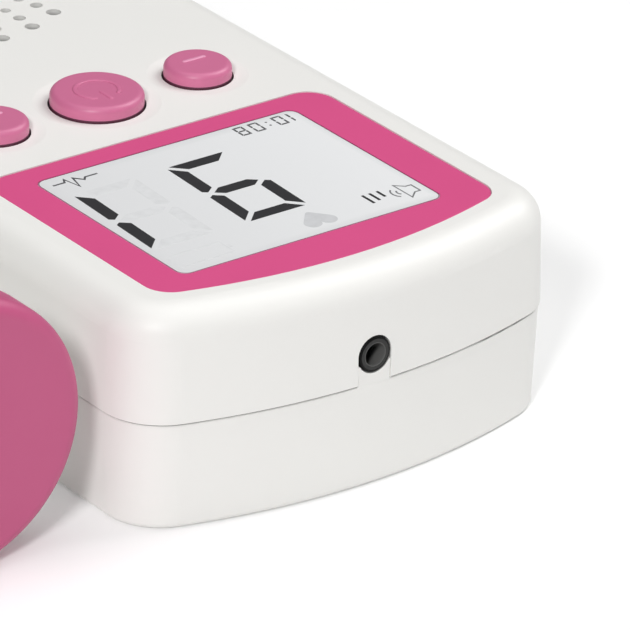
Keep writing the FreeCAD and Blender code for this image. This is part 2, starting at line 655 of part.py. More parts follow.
def jack_tongue():
    """Small upright tongue that closes the top shell's slot under the headphone socket."""
    half = JACK_HOLE - TONGUE_PLAY
    low = SEAM_HEIGHT - TONGUE_ROOT
    tongue = block(JACK_SIDE - half, JACK_SIDE + half, Y_FRONT - WALL - TOP_DRAFT, Y_FRONT + OVER,
                   low, JACK_HEIGHT - JACK_TONGUE_DROP)
    return tongue.common(bottom_form(TONGUE_SINK, low - OVER, TOP))


def door_space():
    """Cutters for the battery door and for the rails along its sides."""
    half = DOOR_HALF_WIDTH + DOOR_GAP
    wide = half + DOOR_RAIL
    high = DOOR_THICK + DOOR_GAP
    plate = block(-half, half, Y_TAIL - OVER, DOOR_FRONT + DOOR_GAP, -OVER, high)
    rails = block(-wide, wide, Y_TAIL - OVER, DOOR_FRONT - DOOR_RAIL_SHORT + OVER,
                  DOOR_THICK / 2 - DOOR_GAP, high)
    return [plate, rails]


def bottom_shell():
    shell = bottom_hull(0, 0, SEAM_HEIGHT, BOTTOM_ROUND)
    shell = shell.makeFillet(SEAM_ROUND, rim_edges(shell, SEAM_HEIGHT))
    shell = shell.cut(bottom_hull(WALL, FLOOR, SEAM_HEIGHT + OVER, INNER_ROUND))
    lip = prism(WALL / 2 + LIP_PLAY, SEAM_HEIGHT - OVER, SEAM_HEIGHT + LIP_HEIGHT)
    lip = lip.cut(prism(WALL + SEAM_STEP, SEAM_HEIGHT - 2 * OVER, SEAM_HEIGHT + LIP_HEIGHT + OVER))
    low = FLOOR - EMBED
    bay_half = BAY_HALF_WIDTH + BAY_WALL
    bay = block(-bay_half, bay_half, BAY_TAIL - BAY_WALL, BAY_FRONT + BAY_WALL, low, BAY_ROOF + BAY_WALL)
    adds = [lip, bay, jack_tongue()]
    for x, y in mirrored(CASE_SCREWS):
        adds.append(rod(BOTTOM_BOSS_RADIUS, SEAM_HEIGHT - low, (x, y, low)))
    rib_half = HALF_WIDTH - RIB_MARGIN
    for y in RIB_ROWS:
        adds.append(block(-rib_half, rib_half, y, y + RIB_THICK, low, FLOOR + RIB_HEIGHT))
    shell = joined([shell] + adds)
    cuts = door_space()
    cuts.append(jack_opening())
    cuts.append(block(-BAY_HALF_WIDTH, BAY_HALF_WIDTH, BAY_TAIL, BAY_FRONT, -OVER, BAY_ROOF))
    for x, y in mirrored(CASE_SCREWS):
        cuts.append(rod(SCREW_RADIUS + SCREW_PASS, SEAM_HEIGHT + 2 * OVER, (x, y, -OVER)))
        cuts.append(rod(SCREW_HEAD_RADIUS + SCREW_HEAD_PLAY, SCREW_SINK + OVER, (x, y, -OVER)))
    return shell.cut(Part.makeCompound(cuts))


def battery_door():
    half = DOOR_HALF_WIDTH
    plate = block(-half, half, Y_TAIL - OVER, DOOR_FRONT, 0, DOOR_THICK)
    plate = plate.common(bottom_hull(0, 0, SEAM_HEIGHT, BOTTOM_ROUND))
    rails = block(-half - DOOR_RAIL, half + DOOR_RAIL, Y_TAIL + DOOR_RAIL_SET_BACK,
                  DOOR_FRONT - DOOR_RAIL_SHORT, DOOR_THICK / 2, DOOR_THICK)
    grips = []
    for k in range(GRIP_COUNT):
        y = Y_TAIL + GRIP_SET_BACK + GRIP_PITCH * k
        grips.append(block(-GRIP_HALF_WIDTH, GRIP_HALF_WIDTH, y, y + GRIP_WIDTH, -OVER, GRIP_DEPTH))
    return joined([plate, rails]).cut(Part.makeCompound(grips))


# ------------------------------------------------------------------ keys and switches
def key(x, hole):
    base = INNER_TOP - STACK_GAP - KEY_FLANGE_THICK
    cap = rod(hole - KEY_GAP, TOP + KEY_RISE - base, (x, KEY_ROW, base))
    cap = cap.makeFillet(KEY_ROUND, rim_edges(cap, TOP + KEY_RISE))
    flange = rod(hole + KEY_FLANGE, KEY_FLANGE_THICK, (x, KEY_ROW, base))
    stem = rod(KEY_STEM_RADIUS, base + EMBED - PLUNGER_TOP, (x, KEY_ROW, PLUNGER_TOP))
    return joined([cap, flange, stem])


def switch_body(x):
    half = SWITCH_SIDE / 2
    body = block(x - half, x + half, KEY_ROW - half, KEY_ROW + half, BOARD_TOP, BOARD_TOP + SWITCH_HEIGHT)
    well = rod(PLUNGER_RADIUS + PLUNGER_PLAY, SWITCH_HEIGHT, (x, KEY_ROW, BOARD_TOP + SWITCH_FLOOR))
    return body.cut(well)


def switch_plunger(x):
    low = BOARD_TOP + SWITCH_FLOOR + KEY_TRAVEL + PLUNGER_SPARE
    return rod(PLUNGER_RADIUS, PLUNGER_TOP - low, (x, KEY_ROW, low))


# ------------------------------------------------------------------ speaker
def basket(top, low):
    r = SPEAKER_RADIUS
    section = [(r, top), (r - BASKET_RIM, top), (r - BASKET_RIM, top - BASKET_THICK),
               (MAGNET_RADIUS, low + BASKET_THICK), (BASKET_HOLE, low + BASKET_THICK), (BASKET_HOLE, low),
               (MAGNET_RADIUS + BASKET_SHOULDER, low), (r, top - BASKET_RIM_DEPTH)]
    return turned(section, (0, SPEAKER_Y, 0))


def cone(top):
    """Paper cone with its half roll, dust cap and the flat ring that is glued to the basket."""
    ring = SPEAKER_RADIUS - BASKET_RIM
    edge = ring - CONE_RIM / 2
    upper = [(edge, top - CONE_RIM_DROP), (edge - CONE_ROLL, top - CONE_RIM_DROP + CONE_ROLL_RISE),
             (CONE_NECK, top - CONE_DEPTH), (0, top - CONE_DEPTH + DUST_CAP_RISE)]
    lower = [(r, z - CONE_THICK) for r, z in reversed(upper)]
    glued = tube(ring, ring - CONE_RIM, CONE_THICK, (0, SPEAKER_Y, top - CONE_RIM_DROP - CONE_THICK))
    return joined([turned(upper + lower, (0, SPEAKER_Y, 0)), glued])


def speaker_parts():
    top = INNER_TOP - GASKET_THICK
    low = top - SPEAKER_DEPTH
    gasket = tube(SPEAKER_RADIUS, SPEAKER_RADIUS - GASKET_WIDTH, GASKET_THICK, (0, SPEAKER_Y, top))
    cap_rise = (CONE_NECK - COIL_RADIUS) * DUST_CAP_RISE / CONE_NECK
    coil_top = top - CONE_DEPTH - CONE_THICK + cap_rise - SEAT_GAP
    coil_low = low + COIL_LIFT
    coil = tube(COIL_RADIUS, COIL_RADIUS - COIL_THICK, coil_top - coil_low, (0, SPEAKER_Y, coil_low))
    magnet = rod(MAGNET_RADIUS, MAGNET_THICK, (0, SPEAKER_Y, low - MAGNET_THICK))
    magnet = joined([magnet, rod(POLE_RADIUS, POLE_RISE + EMBED, (0, SPEAKER_Y, low - EMBED))])
    magnet = magnet.makeFillet(MAGNET_ROUND, rim_edges(magnet, low - MAGNET_THICK))
    return gasket, basket(top, low), cone(top), coil, magnet


# ------------------------------------------------------------------ sockets
def headphone_jack():
    half_height = BOARD_BASE - JACK_HEIGHT
    tail = JACK_FRONT - JACK_LENGTH
    body = block(JACK_SIDE - JACK_WIDTH / 2, JACK_SIDE + JACK_WIDTH / 2, tail, JACK_FRONT,
                 JACK_HEIGHT - half_height, BOARD_BASE)
    hole = rod(SHANK_RADIUS + JACK_FIT, JACK_LENGTH, (JACK_SIDE, tail + JACK_END_WALL, JACK_HEIGHT),
               V(0, 1, 0))
    return body.cut(hole)


def jack_sleeve():
    tail = JACK_FRONT - JACK_LENGTH + JACK_END_WALL + JACK_GAP
    nose = rod(JACK_HOLE - JACK_GAP, SLEEVE_FACE - JACK_FRONT, (JACK_SIDE, JACK_FRONT, JACK_HEIGHT),
               V(0, 1, 0))
    nose = nose.makeFillet(JACK_ROUND, end_edges(nose, SLEEVE_FACE))
    shank = rod(SHANK_RADIUS, JACK_FRONT - tail, (JACK_SIDE, tail, JACK_HEIGHT), V(0, 1, 0))
    bore = rod(JACK_BORE, JACK_BORE_DEPTH + OVER, (JACK_SIDE, SLEEVE_FACE - JACK_BORE_DEPTH, JACK_HEIGHT),
               V(0, 1, 0))
    return joined([nose, shank]).cut(bore)


def probe_socket():
    """Round socket in the tail wall, with a collar inside the wall."""
    length = SOCKET_END - SOCKET_FACE
    width, height = SOCKET_COLLAR
    barrel = rod(SOCKET_RADIUS, length, (0, SOCKET_FACE, SOCKET_HEIGHT), V(0, 1, 0))
    collar = block(-width / 2, width / 2, Y_TAIL + WALL + TOP_DRAFT + SOCKET_WALL_GAP, SOCKET_END,
                   SOCKET_HEIGHT - height / 2, SOCKET_HEIGHT + height / 2)
    bore = rod(SOCKET_BORE, length - SOCKET_END_WALL + OVER, (0, SOCKET_FACE - OVER, SOCKET_HEIGHT),
               V(0, 1, 0))
    return joined([barrel, collar]).cut(bore)


# ------------------------------------------------------------------ main board
def main_pcb():
    w = BOARD_HALF_WIDTH
    tab = BOARD_TAB_HALF_WIDTH
    board = rounded_block(-w, w, BOARD_TAIL, BOARD_FRONT, BOARD_BASE, BOARD_TOP, BOARD_CORNER)
    board = joined([board, rounded_block(-tab, tab, BOARD_TAIL, BOARD_TAB_FRONT, BOARD_BASE, BOARD_TOP,
                                         BOARD_CORNER)])
    holes = [rod(SCREW_RADIUS + SCREW_PASS, BOARD_THICK + 2 * OVER, (x, y, BOARD_BASE - OVER))
             for x, y in mirrored(BOARD_SCREWS)]
    return board.cut(Part.makeCompound(holes))


def pan_screw(x, y, z, length, up=V(0, 0, 1)):
    """Cross-head screw; z is the underside of the head, the shank runs along up."""
    base = V(x, y, z) - up * SCREW_HEAD_THICK
    head = Part.makeCylinder(SCREW_HEAD_RADIUS, SCREW_HEAD_THICK, base, up)
    shank = Part.makeCylinder(SCREW_RADIUS, length, V(x, y, z), up)
    screw = joined([head, shank])
    across = V(up.y, up.z, up.x)
    third = up.cross(across)
    slot_length, slot_width, slot_depth = SCREW_SLOT
    for first, second in ((across, third), (third, across)):
        along = first * slot_length
        wide = second * slot_width
        corner = base - along * 0.5 - wide * 0.5 - up * OVER
        slot = Part.makePolygon([corner, corner + along, corner + along + wide, corner + wide, corner])
        screw = screw.cut(Part.Face(slot).extrude(up * (OVER + slot_depth)))
    return screw


def case_screws():
    length = SEAM_HEIGHT + CASE_SCREW_BITE - SCREW_SINK
    return Part.makeCompound([pan_screw(x, y, SCREW_SINK, length) for x, y in mirrored(CASE_SCREWS)])


def pcb_screws():
    return Part.makeCompound([pan_screw(x, y, BOARD_BASE, BOARD_SCREW_LENGTH)
                              for x, y in mirrored(BOARD_SCREWS)])


def chip(size, leads):
    """Leaded chip on the underside of the main board."""
    x, y, width, depth, height = size
    low = BOARD_BASE - height
    shapes = [block(x - width / 2, x + width / 2, y - depth / 2, y + depth / 2,
                    low, BOARD_BASE - CHIP_STANDOFF)]
    first = x - width / 2 + LEAD_INSET
    step = (width - 2 * LEAD_INSET) / (leads - 1)
    reach = depth / 2 + LEAD_REACH
    for k in range(leads):
        lead = first + k * step
        shapes.append(block(lead - LEAD_WIDTH / 2, lead + LEAD_WIDTH / 2, y - reach, y + reach,
                            BOARD_BASE - LEAD_THICK, BOARD_BASE))
    return joined(shapes)


def capacitors():
    low = BOARD_BASE - CAPACITOR_HEIGHT
    cans = []
    for k in range(CAPACITOR_COUNT):
        can = rod(CAPACITOR_RADIUS, CAPACITOR_HEIGHT, (CAPACITOR_X + CAPACITOR_PITCH * k, CAPACITOR_Y, low))
        cans.append(can.makeFillet(CAN_ROUND, rim_edges(can, low)))
    return Part.makeCompound(cans)


def crystal_can():
    x = CRYSTAL_CAN_LENGTH / 2
    y = CRYSTAL_CAN_WIDTH / 2
    return rounded_block(CRYSTAL_CAN_X - x, CRYSTAL_CAN_X + x, CRYSTAL_CAN_Y - y, CRYSTAL_CAN_Y + y,
                         BOARD_BASE - CRYSTAL_CAN_HEIGHT, BOARD_BASE, CRYSTAL_CAN_ROUND)


# ------------------------------------------------------------------ battery bay
def cell_rows():
    """Side, tail end of the can, and +1 where the nub points to the display end."""
    can_low = BAY_TAIL + CONTACT_THICK + SPRING_LENGTH
    other_low = BAY_TAIL + CONTACT_THICK + CELL_NUB
    return ((CELL_PITCH / 2, can_low, 1), (-CELL_PITCH / 2, other_low, -1))


def cell(x, low, way):
    can = rod(CELL_RADIUS, CELL_LENGTH, (x, low, CELL_HEIGHT), V(0, 1, 0))
    can = can.makeFillet(CELL_ROUND, [e for e in can.Edges if e.Curve.TypeId == "Part::GeomCircle"])
    start = low + CELL_LENGTH - EMBED if way > 0 else low - CELL_NUB
    nub = rod(CELL_NUB_RADIUS, CELL_NUB + EMBED, (x, start, CELL_HEIGHT), V(0, 1, 0))
    return joined([can, nub])


def battery_springs():
    springs = []
    for x, low, way in cell_rows():
        start = low - SPRING_LENGTH if way > 0 else low + CELL_LENGTH + SPRING_LENGTH
        height = SPRING_LENGTH - 2 * (SPRING_WIRE + SEAT_GAP)
        helix = Part.makeHelix(height / SPRING_TURN_COUNT, height, SPRING_RADIUS)
        ring = Part.makeCircle(SPRING_WIRE, V(SPRING_RADIUS, 0, 0), V(0, 1, 0))
        coil = Part.Wire(helix.Edges).makePipeShell([Part.Wire(ring)], True, True)
        coil.rotate(V(0, 0, 0), V(1, 0, 0), 90)
        coil.rotate(V(0, 0, 0), V(0, 0, 1), 180 if way > 0 else 0)
        coil.translate(V(x, start + way * (SPRING_WIRE + SEAT_GAP), CELL_HEIGHT))
        springs.append(coil)
    return Part.makeCompound(springs)


def contact_plate(x0, x1, at_front):
    y = BAY_FRONT - CONTACT_THICK if at_front else BAY_TAIL
    return block(x0, x1, y, y + CONTACT_THICK, CELL_HEIGHT - CONTACT_HALF_HEIGHT,
                 CELL_HEIGHT + CONTACT_HALF_HEIGHT)


# ------------------------------------------------------------------ probe
def probe_profile(inset):
    """Outer profile of the probe shell behind its cap, as (radius, distance behind the face)."""
    head = PROBE_SHELL_RADIUS - inset
    neck = PROBE_NECK - inset
    start = PROBE_CAP_DEPTH + PROBE_LAND
    points = [(head, PROBE_CAP_DEPTH)]
    for k in range(PROFILE_STEP_COUNT + 1):
        t = k / PROFILE_STEP_COUNT
        blend = (1 - math.cos(math.pi * t)) / 2
        points.append((head + (neck - head) * blend, start + (PROBE_HEAD_DEPTH - start) * t))
    return points


def smooth_spun(inset, start, end, tail_round):
    """Probe shell form: a smooth flare from the head to the handle, then straight."""
    pts = [V(r, -d, 0) for r, d in probe_profile(inset)]
    curve = Part.BSplineCurve()
    curve.interpolate(pts[1:], InitialTangent=V(0, -1, 0), FinalTangent=V(0, -1, 0))
    neck = PROBE_NECK - inset
    s = tail_round * (1 - math.sqrt(0.5))
    edges = [
        Part.makeLine(V(0, -start, 0), V(pts[0].x, -start, 0)),
        Part.makeLine(V(pts[0].x, -start, 0), pts[1]),
        curve.toShape(),
        Part.makeLine(pts[-1], V(neck, -end + tail_round, 0)),
        Part.Arc(V(neck, -end + tail_round, 0), V(neck - s, -end + s, 0),
                 V(neck - tail_round, -end, 0)).toShape(),
        Part.makeLine(V(neck - tail_round, -end, 0), V(0, -end, 0)),
        Part.makeLine(V(0, -end, 0), V(0, -start, 0)),
    ]
    solid = Part.Face(Part.Wire(edges)).revolve(V(0, 0, 0), V(0, 1, 0), 360)
    solid.translate(V(PROBE_X, PROBE_FACE, PROBE_Z))
    return solid


def probe_screw_rows():
    return (PROBE_FACE - PROBE_SCREW_SETS[0], PROBE_TAIL + PROBE_SCREW_SETS[1])


def probe_shells():
    form = smooth_spun(0, PROBE_CAP_DEPTH + SEAT_GAP, PROBE_LENGTH, PROBE_TAIL_ROUND)
    hollow = smooth_spun(PROBE_WALL, PROBE_CAP_DEPTH - OVER, PROBE_LENGTH - PROBE_WALL, PROBE_INNER_ROUND)
    shell = form.cut(hollow)
    post_low = PROBE_Z - PROBE_NECK + PROBE_WALL / 2
    posts = [rod(PROBE_POST_RADIUS, 2 * (PROBE_Z - post_low), (PROBE_X, y, post_low))
             for y in probe_screw_rows()]
    shell = joined([shell] + posts)
    shell = shell.cut(rod(GLAND_RADIUS + SEAT_GAP, PROBE_WALL + 2 * OVER,
                          (PROBE_X, PROBE_TAIL - OVER, PROBE_Z), V(0, 1, 0)))
    halves = []
    for side in (1, -1):
        z0 = PROBE_Z + side * PROBE_SPLIT / 2
        z1 = z0 + side * PROBE_LENGTH
        keep = block(PROBE_X - PROBE_LENGTH, PROBE_X + PROBE_LENGTH, PROBE_TAIL - OVER, PROBE_FACE + OVER,
                     min(z0, z1), max(z0, z1))
        halves.append(shell.common(keep))
    upper, lower = halves
    outside = PROBE_Z - PROBE_NECK - OVER
    for y in probe_screw_rows():
        upper = upper.cut(rod(SCREW_RADIUS + SCREW_PLAY, OVER + PROBE_SCREW_BITE + SCREW_TIP_ROOM,
                              (PROBE_X, y, PROBE_Z - OVER)))
        lower = lower.cut(rod(SCREW_RADIUS + SCREW_PASS, PROBE_NECK + 2 * OVER, (PROBE_X, y, outside)))
        lower = lower.cut(rod(SCREW_HEAD_RADIUS + SCREW_HEAD_PLAY, PROBE_SCREW_SINK + OVER,
                              (PROBE_X, y, outside)))
    return upper, lower


def probe_screws():
    seat = PROBE_Z - PROBE_NECK + PROBE_SCREW_SINK
    length = PROBE_Z + PROBE_SCREW_BITE - seat
    return Part.makeCompound([pan_screw(PROBE_X, y, seat, length) for y in probe_screw_rows()])


def probe_cap():
    """Coloured cap: flat face, rounded rim, hollow behind; its skirt plugs into the shell."""
    back = PROBE_FACE - PROBE_CAP_DEPTH
    cap = rod(PROBE_RADIUS, PROBE_CAP_DEPTH, (PROBE_X, back, PROBE_Z), V(0, 1, 0))
    cap = cap.makeFillet(PROBE_CAP_ROUND, end_edges(cap, PROBE_FACE))
    skirt = rod(CAP_SKIRT_RADIUS, PROBE_SKIRT, (PROBE_X, back - PROBE_SKIRT, PROBE_Z), V(0, 1, 0))
    hollow = rod(CAP_SKIRT_RADIUS - CAP_WALL, PROBE_CAP_DEPTH + PROBE_SKIRT - PROBE_WINDOW,
                 (PROBE_X, back - PROBE_SKIRT, PROBE_Z), V(0, 1, 0))
    return joined([cap, skirt]).cut(hollow)


def piezo(side):
    disc = rod(CRYSTAL_RADIUS, CRYSTAL_THICK, (PROBE_X, CRYSTAL_BACK, PROBE_Z), V(0, 1, 0))
    x0 = PROBE_X + side * CRYSTAL_GAP / 2
    x1 = x0 + side * CRYSTAL_RADIUS
    keep = block(min(x0, x1), max(x0, x1), CRYSTAL_BACK - OVER, PROBE_FACE,
                 PROBE_Z - CRYSTAL_RADIUS, PROBE_Z + CRYSTAL_RADIUS)
    return disc.common(keep)


def probe_backing():
    radius = CAP_SKIRT_RADIUS - CAP_WALL - BACKING_PLAY
    return rod(radius, BACKING_THICK, (PROBE_X, CRYSTAL_BACK - BACKING_THICK, PROBE_Z), V(0, 1, 0))


def probe_pcb():
    front, tail = probe_screw_rows()
    inner = PROBE_NECK - PROBE_WALL - STACK_GAP
    width = math.sqrt(inner ** 2 - (PROBE_BOARD_RISE + PROBE_BOARD_THICK) ** 2)
    low = PROBE_Z + PROBE_BOARD_RISE
    board = block(PROBE_X - width, PROBE_X + width, tail + PROBE_BOARD_TAIL, front + PROBE_BOARD_FRONT,
                  low, low + PROBE_BOARD_THICK)
    post_hole = rod(PROBE_POST_RADIUS + SCREW_PASS, PROBE_BOARD_THICK + 2 * OVER,
                    (PROBE_X, front, low - OVER))
    return board.cut(post_hole)


def probe_gland():
    flange_low = PROBE_TAIL + PROBE_WALL + SEAT_GAP
    outside = PROBE_TAIL - GLAND_PROUD
    ring = rod(GLAND_RADIUS, GLAND_LENGTH, (PROBE_X, outside, PROBE_Z), V(0, 1, 0))
    flange = rod(GLAND_RADIUS + GLAND_FLANGE, GLAND_FLANGE_THICK, (PROBE_X, flange_low, PROBE_Z), V(0, 1, 0))
    bore = rod(GLAND_BORE, flange_low + GLAND_FLANGE_THICK - outside + 2 * OVER,
               (PROBE_X, outside - OVER, PROBE_Z), V(0, 1, 0))
    return joined([ring, flange]).cut(bore)


# ------------------------------------------------------------------ probe clip
def clip_screw_rows():
    return (CLIP_FROM + CLIP_SCREW_INSET, CLIP_TO - CLIP_SCREW_INSET)


def clip_screw_seat(y):
    """X where the head of the clip screw at y meets the inner face of the +X wall."""
    slope = TOP_DRAFT / (TOP - SEAM_HEIGHT)
    rise = CLIP_SCREW_RISE + SCREW_HEAD_RADIUS
    return HALF_WIDTH - SIDE_TAPER * (Y_FRONT - y + SCREW_HEAD_RADIUS) - WALL - slope * rise - SEAT_GAP


def clip_screw_hole(y):
    """Cutter from inside the wall to past the screw's tip."""
    start = clip_screw_seat(y) - OVER
    length = OVER + CLIP_SCREW_LENGTH + SCREW_TIP_ROOM
    return rod(SCREW_RADIUS + SCREW_PLAY, length, (start, y, CLIP_SCREW_Z), V(1, 0, 0))


def probe_clip():
    length = CLIP_TO - CLIP_FROM
    bore = PROBE_NECK + CLIP_PLAY
    outer = bore + CLIP_WALL
    inside = HALF_WIDTH - WALL
    ring = rod(outer, length, (PROBE_X, CLIP_FROM, PROBE_Z), V(0, 1, 0))
    foot = block(inside, HALF_WIDTH + CLIP_BASE, CLIP_FROM, CLIP_TO,
                 SEAM_HEIGHT + CLIP_FOOT_LOW, TOP - TOP_ROUND - CLIP_FOOT_HIGH)
    web = block(inside, PROBE_X - PROBE_NECK, CLIP_FROM, CLIP_TO,
                PROBE_Z - CLIP_WEB / 2, PROBE_Z + CLIP_WEB / 2)
    clip = joined([ring, foot, web])
    start = CLIP_FROM - OVER
    clip = clip.cut(rod(bore, length + 2 * OVER, (PROBE_X, start, PROBE_Z), V(0, 1, 0)))
    half = math.radians(CLIP_OPENING / 2)
    reach = 2 * outer
    middle = V(PROBE_X, start, PROBE_Z)
    upper = middle + V(reach * math.cos(half), 0, reach * math.sin(half))
    lower = middle + V(reach * math.cos(half), 0, -reach * math.sin(half))
    wedge = Part.Face(Part.makePolygon([middle, upper, lower, middle])).extrude(V(0, length + 2 * OVER, 0))
    cuts = [wedge, top_hull(-SEAT_GAP, SEAM_HEIGHT, TOP, TOP_ROUND)]
    cuts += [clip_screw_hole(y) for y in clip_screw_rows()]
    for cutter in cuts:
        clip = clip.cut(cutter)
    return clip


def clip_screws():
    return Part.makeCompound([
        pan_screw(clip_screw_seat(y), y, CLIP_SCREW_Z, CLIP_SCREW_LENGTH, V(1, 0, 0))
        for y in clip_screw_rows()])


# ------------------------------------------------------------------ everything
def build():
    pieces = {
        "top_shell": top_shell(),
        "bottom_shell": bottom_shell(),
        "battery_door": battery_door(),
        "display_bezel": display_bezel(),
        "display_lens": display_lens(),
        "lcd_glass": lcd_glass(),
        "lcd_tray": lcd_tray(),
        "lcd_backlight": lcd_backlight(),
        "zebra_strip": zebra_space(0),
        "main_pcb": main_pcb(),
        "headphone_jack": headphone_jack(),
        "jack_sleeve": jack_sleeve(),
        "probe_socket": probe_socket(),
        "case_screws": case_screws(),
        "pcb_screws": pcb_screws(),
        "controller_chip": chip(CONTROLLER, CONTROLLER_LEAD_COUNT),
        "amplifier_chip": chip(AMPLIFIER, SMALL_CHIP_LEAD_COUNT),
        "receiver_chip": chip(RECEIVER, SMALL_CHIP_LEAD_COUNT),
        "crystal_can": crystal_can(),
        "capacitors": capacitors(),
        "battery_springs": battery_springs(),
        "battery_link": contact_plate(-CONTACT_REACH, CONTACT_REACH, True),
        "battery_terminal_plus": contact_plate(-CONTACT_REACH, -CONTACT_GAP / 2, False),
        "battery_terminal_minus": contact_plate(CONTACT_GAP / 2, CONTACT_REACH, False),
        "probe_cap": probe_cap(),
        "piezo_transmit": piezo(1),
        "piezo_receive": piezo(-1),
        "probe_backing": probe_backing(),
        "probe_pcb": probe_pcb(),
        "probe_gland": probe_gland(),
        "probe_screws": probe_screws(),
        "probe_clip": probe_clip(),
        "clip_screws": clip_screws(),
    }
    for number, (x, low, way) in enumerate(cell_rows(), 1):
        pieces["battery_%d" % number] = cell(x, low, way)
    for name, x, hole in KEYS:
        pieces[name] = key(x, hole)
        pieces[name.replace("key", "switch")] = switch_body(x)
        pieces[name.replace("key", "plunger")] = switch_plunger(x)
    names = ("speaker_gasket", "speaker_frame", "speaker_cone", "speaker_coil", "speaker_magnet")
    pieces.update(zip(names, speaker_parts()))
    pieces["probe_shell_upper"], pieces["probe_shell_lower"] = probe_shells()
    return pieces


def main():
    os.makedirs("parts", exist_ok=True)
    for name, shape in build().items():
        shape.exportStep("parts/%s.step" % name)


main()
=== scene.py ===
"""Finish of a fetal doppler monitor: the unit, its probe, the display's picture and a studio."""
import math

import bmesh
import bpy
from bpy.props import FloatProperty, FloatVectorProperty, PointerProperty, StringProperty
from mathutils import Matrix, Vector


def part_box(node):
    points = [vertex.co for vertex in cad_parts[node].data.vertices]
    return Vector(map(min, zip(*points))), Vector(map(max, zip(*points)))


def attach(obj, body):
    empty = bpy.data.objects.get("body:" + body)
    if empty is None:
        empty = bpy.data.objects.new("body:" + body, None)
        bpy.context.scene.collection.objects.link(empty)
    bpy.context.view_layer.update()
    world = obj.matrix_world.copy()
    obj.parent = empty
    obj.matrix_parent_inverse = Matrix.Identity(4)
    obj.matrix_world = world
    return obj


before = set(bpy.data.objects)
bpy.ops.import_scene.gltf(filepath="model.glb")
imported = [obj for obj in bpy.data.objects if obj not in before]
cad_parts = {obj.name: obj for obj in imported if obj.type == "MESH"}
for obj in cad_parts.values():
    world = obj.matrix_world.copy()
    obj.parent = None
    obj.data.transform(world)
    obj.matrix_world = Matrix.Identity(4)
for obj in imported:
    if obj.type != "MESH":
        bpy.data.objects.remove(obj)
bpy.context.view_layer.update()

bl_info = {
    "name": "Fetal Doppler Finish",
    "version": (1, 0, 0),
    "blender": (4, 5, 0),
    "location": "View3D > Sidebar > Doppler",
    "description": "Dresses a fetal doppler monitor and sets it in a plain white studio",
    "category": "Object",
}

MM = 0.001
LENS_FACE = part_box("display_lens")[1].z
KEY_NODES = {"power_button": "power_key", "plus_button": "plus_key", "minus_button": "minus_key"}
WHITE = (1.0, 1.0, 1.0)
GRAIN = 0.35 * MM            # size and depth of the moulded grain, where a finish gives no other
GRAIN_DEPTH = 0.004 * MM
SEAM_SHADOW_SHADE = 0.3           # painted shade in dark places: the seam, the sound holes and the key gaps, as factors of their colour
HOLE_SHADOW_SHADE = 0.22
KEY_GAP_SHADOW_SHADE = 0.2
DRIFT_PATCH = 24 * MM        # patches of a moulding that differ in colour, and in gloss
GLOSS_PATCH = 3 * MM
GLOSS_SPREAD = 0.05
PIT_SIZE = 2.5               # pits among the grains, as factors of their size and depth
PIT_DEPTH = 0.35


def linear(*levels):
    """Scene colour of a screen colour given as levels from 0 to 255."""
    shares = [level / 255.0 for level in levels]
    return tuple(s / 12.92 if s <= 0.04045 else ((s + 0.055) / 1.055) ** 2.4 for s in shares)


def lighter(colour, factor):
    """A colour times a factor, with no channel above one."""
    return tuple(min(1.0, channel * factor) for channel in colour)


# ------------------------------------------------------------------ settings
def length_setting(name, description, default):
    return FloatProperty(name=name, description=description, default=default, min=0.0,
                         subtype="DISTANCE", unit="LENGTH", precision=5)


def angle_setting(name, description, degrees):
    return FloatProperty(name=name, description=description, default=math.radians(degrees),
                         subtype="ANGLE", unit="ROTATION")


def colour_setting(name, description, default):
    return FloatVectorProperty(name=name, description=description, default=default, size=3,
                               min=0.0, max=1.0, subtype="COLOR")


def share_setting(name, description, default):
    return FloatProperty(name=name, description=description, default=default, min=0.0, max=1.0,
                         subtype="FACTOR")


def text_setting(name, description, default):
    return StringProperty(name=name, description=description, default=default)


class CaseSettings(bpy.types.PropertyGroup):
    """White mouldings of the unit, the probe handle and the clip."""
    white: colour_setting("White", "Colour of the white mouldings", (0.83, 0.823, 0.798))
    roughness: share_setting("Roughness", "Roughness of the white mouldings", 0.46)
    grain: length_setting("Grain", "Size of the moulded grain", GRAIN)
    grain_depth: length_setting("Grain Depth", "Depth of the moulded grain", GRAIN_DEPTH)


class PinkSettings(bpy.types.PropertyGroup):
    """Coloured mouldings."""
    surround: colour_setting("Surround", "Colour of the display surround", linear(217, 85, 138))
    keys: colour_setting("Keys", "Colour of the keys", linear(203, 112, 149))
    cap: colour_setting("Probe Cap", "Colour of the probe's cap", linear(190, 82, 126))
    mark_width: length_setting("Mark Width", "Width of the raised marks on the keys", 0.75 * MM)
    mark_height: length_setting("Mark Height", "Height of the raised marks on the keys", 0.16 * MM)


class DisplaySettings(bpy.types.PropertyGroup):
    """Picture on the display."""
    reading: text_setting("Reading", "Pulse shown by the large digits", " 91")
    clock: text_setting("Clock", "Time shown by the small digits", "10:08")
    paper: colour_setting("Screen", "Colour of the bare screen", linear(228, 229, 230))
    ink: colour_setting("Segments", "Colour of a segment that is on", linear(53, 53, 55))
    digit_width: length_setting("Digit Width", "Width of a large digit", 11.1 * MM)
    digit_height: length_setting("Digit Height", "Height of a large digit", 21.75 * MM)
    digit_pitch: length_setting("Digit Pitch", "Large digit to large digit", 16.88 * MM)
    stroke: length_setting("Stroke", "Thickness of a large segment", 2.2 * MM)


class StudioSettings(bpy.types.PropertyGroup):
    """Camera and surrounding light."""
    azimuth: angle_setting("Azimuth", "Camera's bearing round the unit", 142.296)
    elevation: angle_setting("Elevation", "Camera above the horizon", 26.293)
    roll: angle_setting("Roll", "Camera's turn about its line of sight", 1.722)
    distance: length_setting("Distance", "Camera to the point it looks at", 0.9)
    focal_length: FloatProperty(name="Focal Length", description="Focal length in millimetres",
                                default=362.35, min=1.0, subtype="DISTANCE_CAMERA", unit="CAMERA")
    surrounding: FloatProperty(name="Surrounding Light", default=0.03, min=0.0,
                               description="Strength of the even white surroundings")


